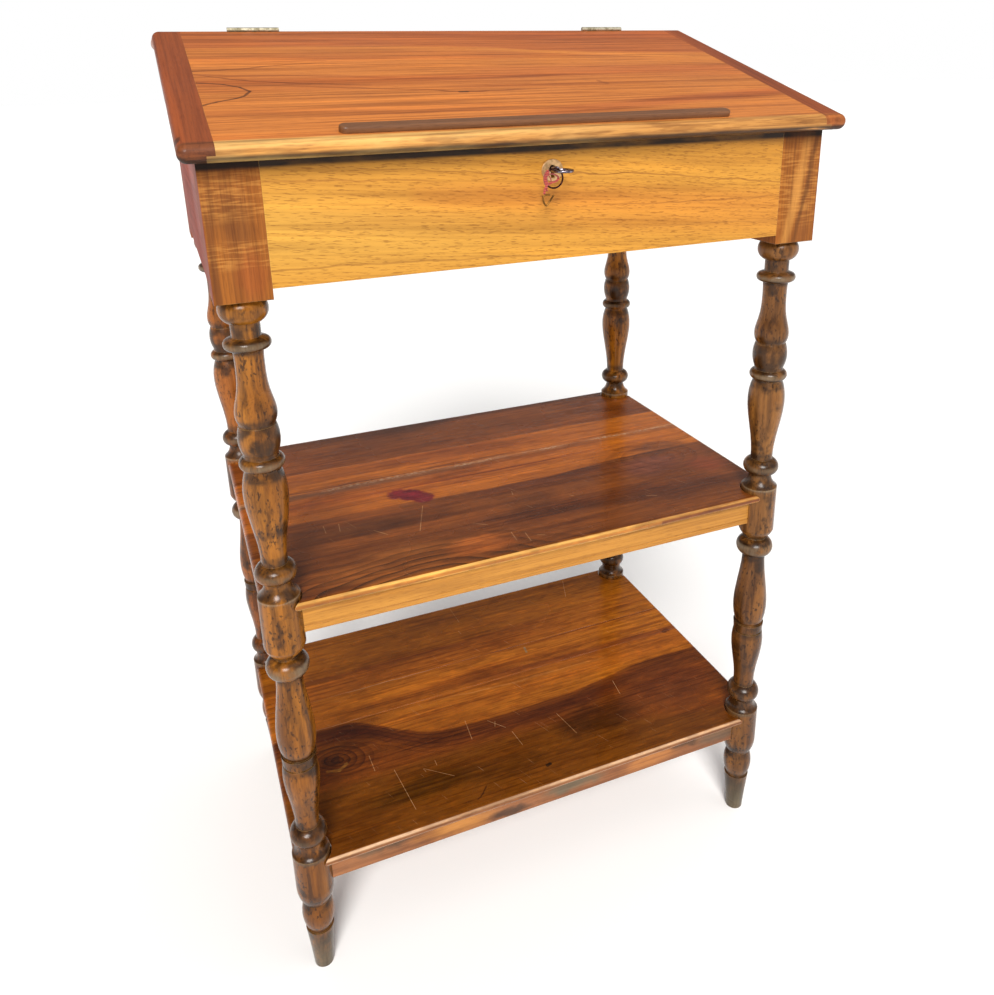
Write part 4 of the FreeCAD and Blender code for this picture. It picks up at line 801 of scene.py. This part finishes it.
def steel(name, bright, dark, rough):
    """Filed steel handled for years: grey, with patches of brown rust."""
    material, tree, shader = new_material(name)
    stand = add(tree, "TexCoord").outputs["Object"]
    patches = stretched_noise(tree, stand, 350.0, 350.0, 3.0, 0.42, 0.6)
    colour = stain_over(tree, linear(bright), patches, 1.0, dark)
    tree.links.new(colour, shader.inputs["Base Color"])
    roughness = add(tree, "MapRange", {"Value": patches, "To Min": rough, "To Max": rough + 0.2}).outputs[0]
    tree.links.new(roughness, shader.inputs["Roughness"])
    bump = add(tree, "Bump", {"Strength": 0.15, "Distance": 0.0001, "Height": patches})
    tree.links.new(bump.outputs[0], shader.inputs["Normal"])
    shader.inputs["Metallic"].default_value = 1.0
    return material


def cotton(name, pale, dark):
    """Woven cotton tape: ribs across it, dull where it is soiled, and a soft, matt surface."""
    material, tree, shader = new_material(name)
    stand = add(tree, "TexCoord").outputs["Object"]
    # the wave texture repeats 20 / (2 pi) times in each scaled metre: these ribs are 2.5 mm apart
    ribs = add(tree, "TexWave", {"Vector": stand, "Scale": 125.0, "Distortion": 1.5, "Detail": 2.0},
               bands_direction="Z")
    colour = stain_over(tree, linear(dark), ribs.outputs["Fac"], 1.0, pale)
    soiled = stretched_noise(tree, stand, 300.0, 300.0, 2.0, 0.5, 0.65)
    colour = stain_over(tree, colour, soiled, 0.35, "#6A3A3A")
    tree.links.new(colour, shader.inputs["Base Color"])
    bump = add(tree, "Bump", {"Strength": 0.5, "Distance": 0.0002, "Height": ribs.outputs["Fac"]})
    tree.links.new(bump.outputs[0], shader.inputs["Normal"])
    shader.inputs["Roughness"].default_value = 0.85
    shader.inputs["Sheen Weight"].default_value = 0.3
    return material


def dress_metal():
    hinge = aged_brass("aged_hinge_brass", "#CCC4AC", "#8A8266", 0.8, (0.45, 0.65))
    for node in ("hinge_leaf_lid_left", "hinge_leaf_lid_right", "hinge_leaf_case_left",
                 "hinge_leaf_case_right", "hinge_pins", "hinge_screws_lid", "hinge_screws_case"):
        dress(node, hinge)
    plate = aged_brass("aged_escutcheon_brass", "#D8B080", "#A07C50", 0.7, (0.4, 0.6))
    for node in ("escutcheon", "escutcheon_pins", "lock_selvage", "lock_strike"):
        dress(node, plate)
    dark_steel = steel("oiled_lock_steel", "#6A6664", "#3C342E", 0.4)
    for node in ("lock_case", "lock_bolt", "lock_screws", "strike_screws"):
        dress(node, dark_steel)
    dress("key", steel("worn_key_steel", "#9A929A", "#5A4E58", 0.25))
    dress("key_ring", steel("browned_ring_steel", "#4A2A24", "#241412", 0.35))


def swept(name, points, wide, thick, material, tilt=0.0):
    """A tape or wire bent through the points."""
    data = bpy.data.curves.new(name, "CURVE")
    data.dimensions = "3D"
    data.resolution_u = 10
    data.bevel_depth = thick
    data.extrude = wide
    data.bevel_resolution = 3
    spline = data.splines.new("NURBS")
    spline.points.add(len(points) - 1)
    for point, place in zip(spline.points, points):
        point.co = (*place, 1.0)
        point.tilt = tilt
    spline.order_u = 3
    spline.use_endpoint_u = True
    spline.use_cyclic_u = False
    data.use_fill_caps = True
    made = bpy.data.objects.new(name, data)
    data.materials.append(material)
    bpy.context.scene.collection.objects.link(made)
    return made


def on_ring(degrees, out=0.0, front=0.0):
    """A place by the key ring: its angle, how far outside the wire's middle, how far before it."""
    angle = math.radians(degrees)
    reach = RING_R + out
    return RING_MIDDLE + Vector((reach * math.cos(angle), -front, reach * math.sin(angle)))


def red_tie():
    """Tape wound round the ring's lower left, knotted, with two short tails."""
    red = cotton("red_cotton_tape", "#B4483A", "#8C2C26")
    # nine turns and a third round the wire, from 132 to 219 degrees of the ring
    first, along_ring, about_wire = 132.0, 1.55, 60.0
    clear = RING_WIRE_R + 0.0008
    turns = []
    for step in range(57):
        turn = math.radians(step * about_wire)
        turns.append(on_ring(first + step * along_ring, clear * math.cos(turn), clear * math.sin(turn)))
    winding = swept("tie_winding", turns, 0.0, 0.00085, red)
    # the knot is a trefoil, run through twice
    knot_at = on_ring(212.0, 0.0010, 0.0014)
    loops = []
    for step in range(25):
        t = step * 2.0 * math.pi / 12.0
        loops.append(knot_at + Vector((0.0011 * (math.sin(t) + 1.6 * math.sin(2 * t)) * 0.6,
                                       0.00085 * -math.sin(3 * t),
                                       0.0013 * (math.cos(t) - 1.6 * math.cos(2 * t)) * 0.6)))
    knot = swept("tie_knot", loops, 0.0, 0.0007, red)
    tails = []
    for name, tilt, bends in (
            ("tie_tail_front", 1.2, ((-0.0006, -0.0008, -0.0022), (-0.0024, -0.0003, -0.0048),
                                     (-0.0020, 0.0004, -0.0078), (-0.0030, 0.0002, -0.0094))),
            ("tie_tail_back", 1.9, ((0.0008, 0.0006, -0.0020), (0.0002, 0.0010, -0.0044),
                                    (0.0012, 0.0006, -0.0068)))):
        places = [knot_at] + [knot_at + Vector(bend) for bend in bends]
        tails.append(swept(name, places, 0.0009, 0.0003, red, tilt))
    strand = swept("tie_strand", [on_ring(150.0, -0.0014, 0.0014), on_ring(160.0, -0.0040, 0.0018),
                                  on_ring(200.0, -0.0058, 0.0016), on_ring(228.0, -0.0036, 0.0016),
                                  on_ring(222.0, -0.0006, 0.0016)], 0.0008, 0.0003, red, 1.4)
    slack = ((-8.6, -1.2, 3.4), (-6.4, -2.0, 4.8), (-2.6, -2.3, 5.0), (1.4, -2.2, 3.6), (4.2, -2.0, 1.2),
             (3.8, -1.8, -1.6), (0.2, -1.9, -3.2), (-3.8, -2.0, -3.8), (-7.2, -1.6, -5.4))
    bight = swept("tie_bight", [RING_MIDDLE + Vector((x / 1000, y / 1000, z / 1000)) for x, y, z in slack],
                  0.0011, 0.00035, red, 1.3)
    for piece in (winding, knot, *tails, strand, bight):
        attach(piece, "ring_body")
        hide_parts("red_tie")


def wire_loop():
    """Thin brass wire bent to a narrow open V, hung from the knot."""
    golden = aged_brass("golden_brown_wire", "#8E6430", "#3E2812", 0.8, (0.35, 0.55))
    y = RING_MIDDLE.y
    bends = [(-0.0150, y - 0.0006, 1.0060), (-0.0186, y - 0.0004, 1.0066), (-0.0218, y, 1.0058),
             (-0.0228, y, 1.0030), (-0.0222, y, 0.9996), (-0.0204, y, 0.9962), (-0.0186, y, 0.9950),
             (-0.0170, y, 0.9964), (-0.0146, y, 0.9998), (-0.0118, y, 1.0036), (-0.0100, y, 1.0062)]
    loop = swept("tie_wire", [Vector(p) for p in bends], 0.0, 0.00095, golden)
    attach(loop, "ring_body")
    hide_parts("tag_loop")


camera()
studio()
floor()
dress_lid()
dress_case()
dress_shelves()
dress_legs()
dress_metal()
red_tie()
wire_loop()
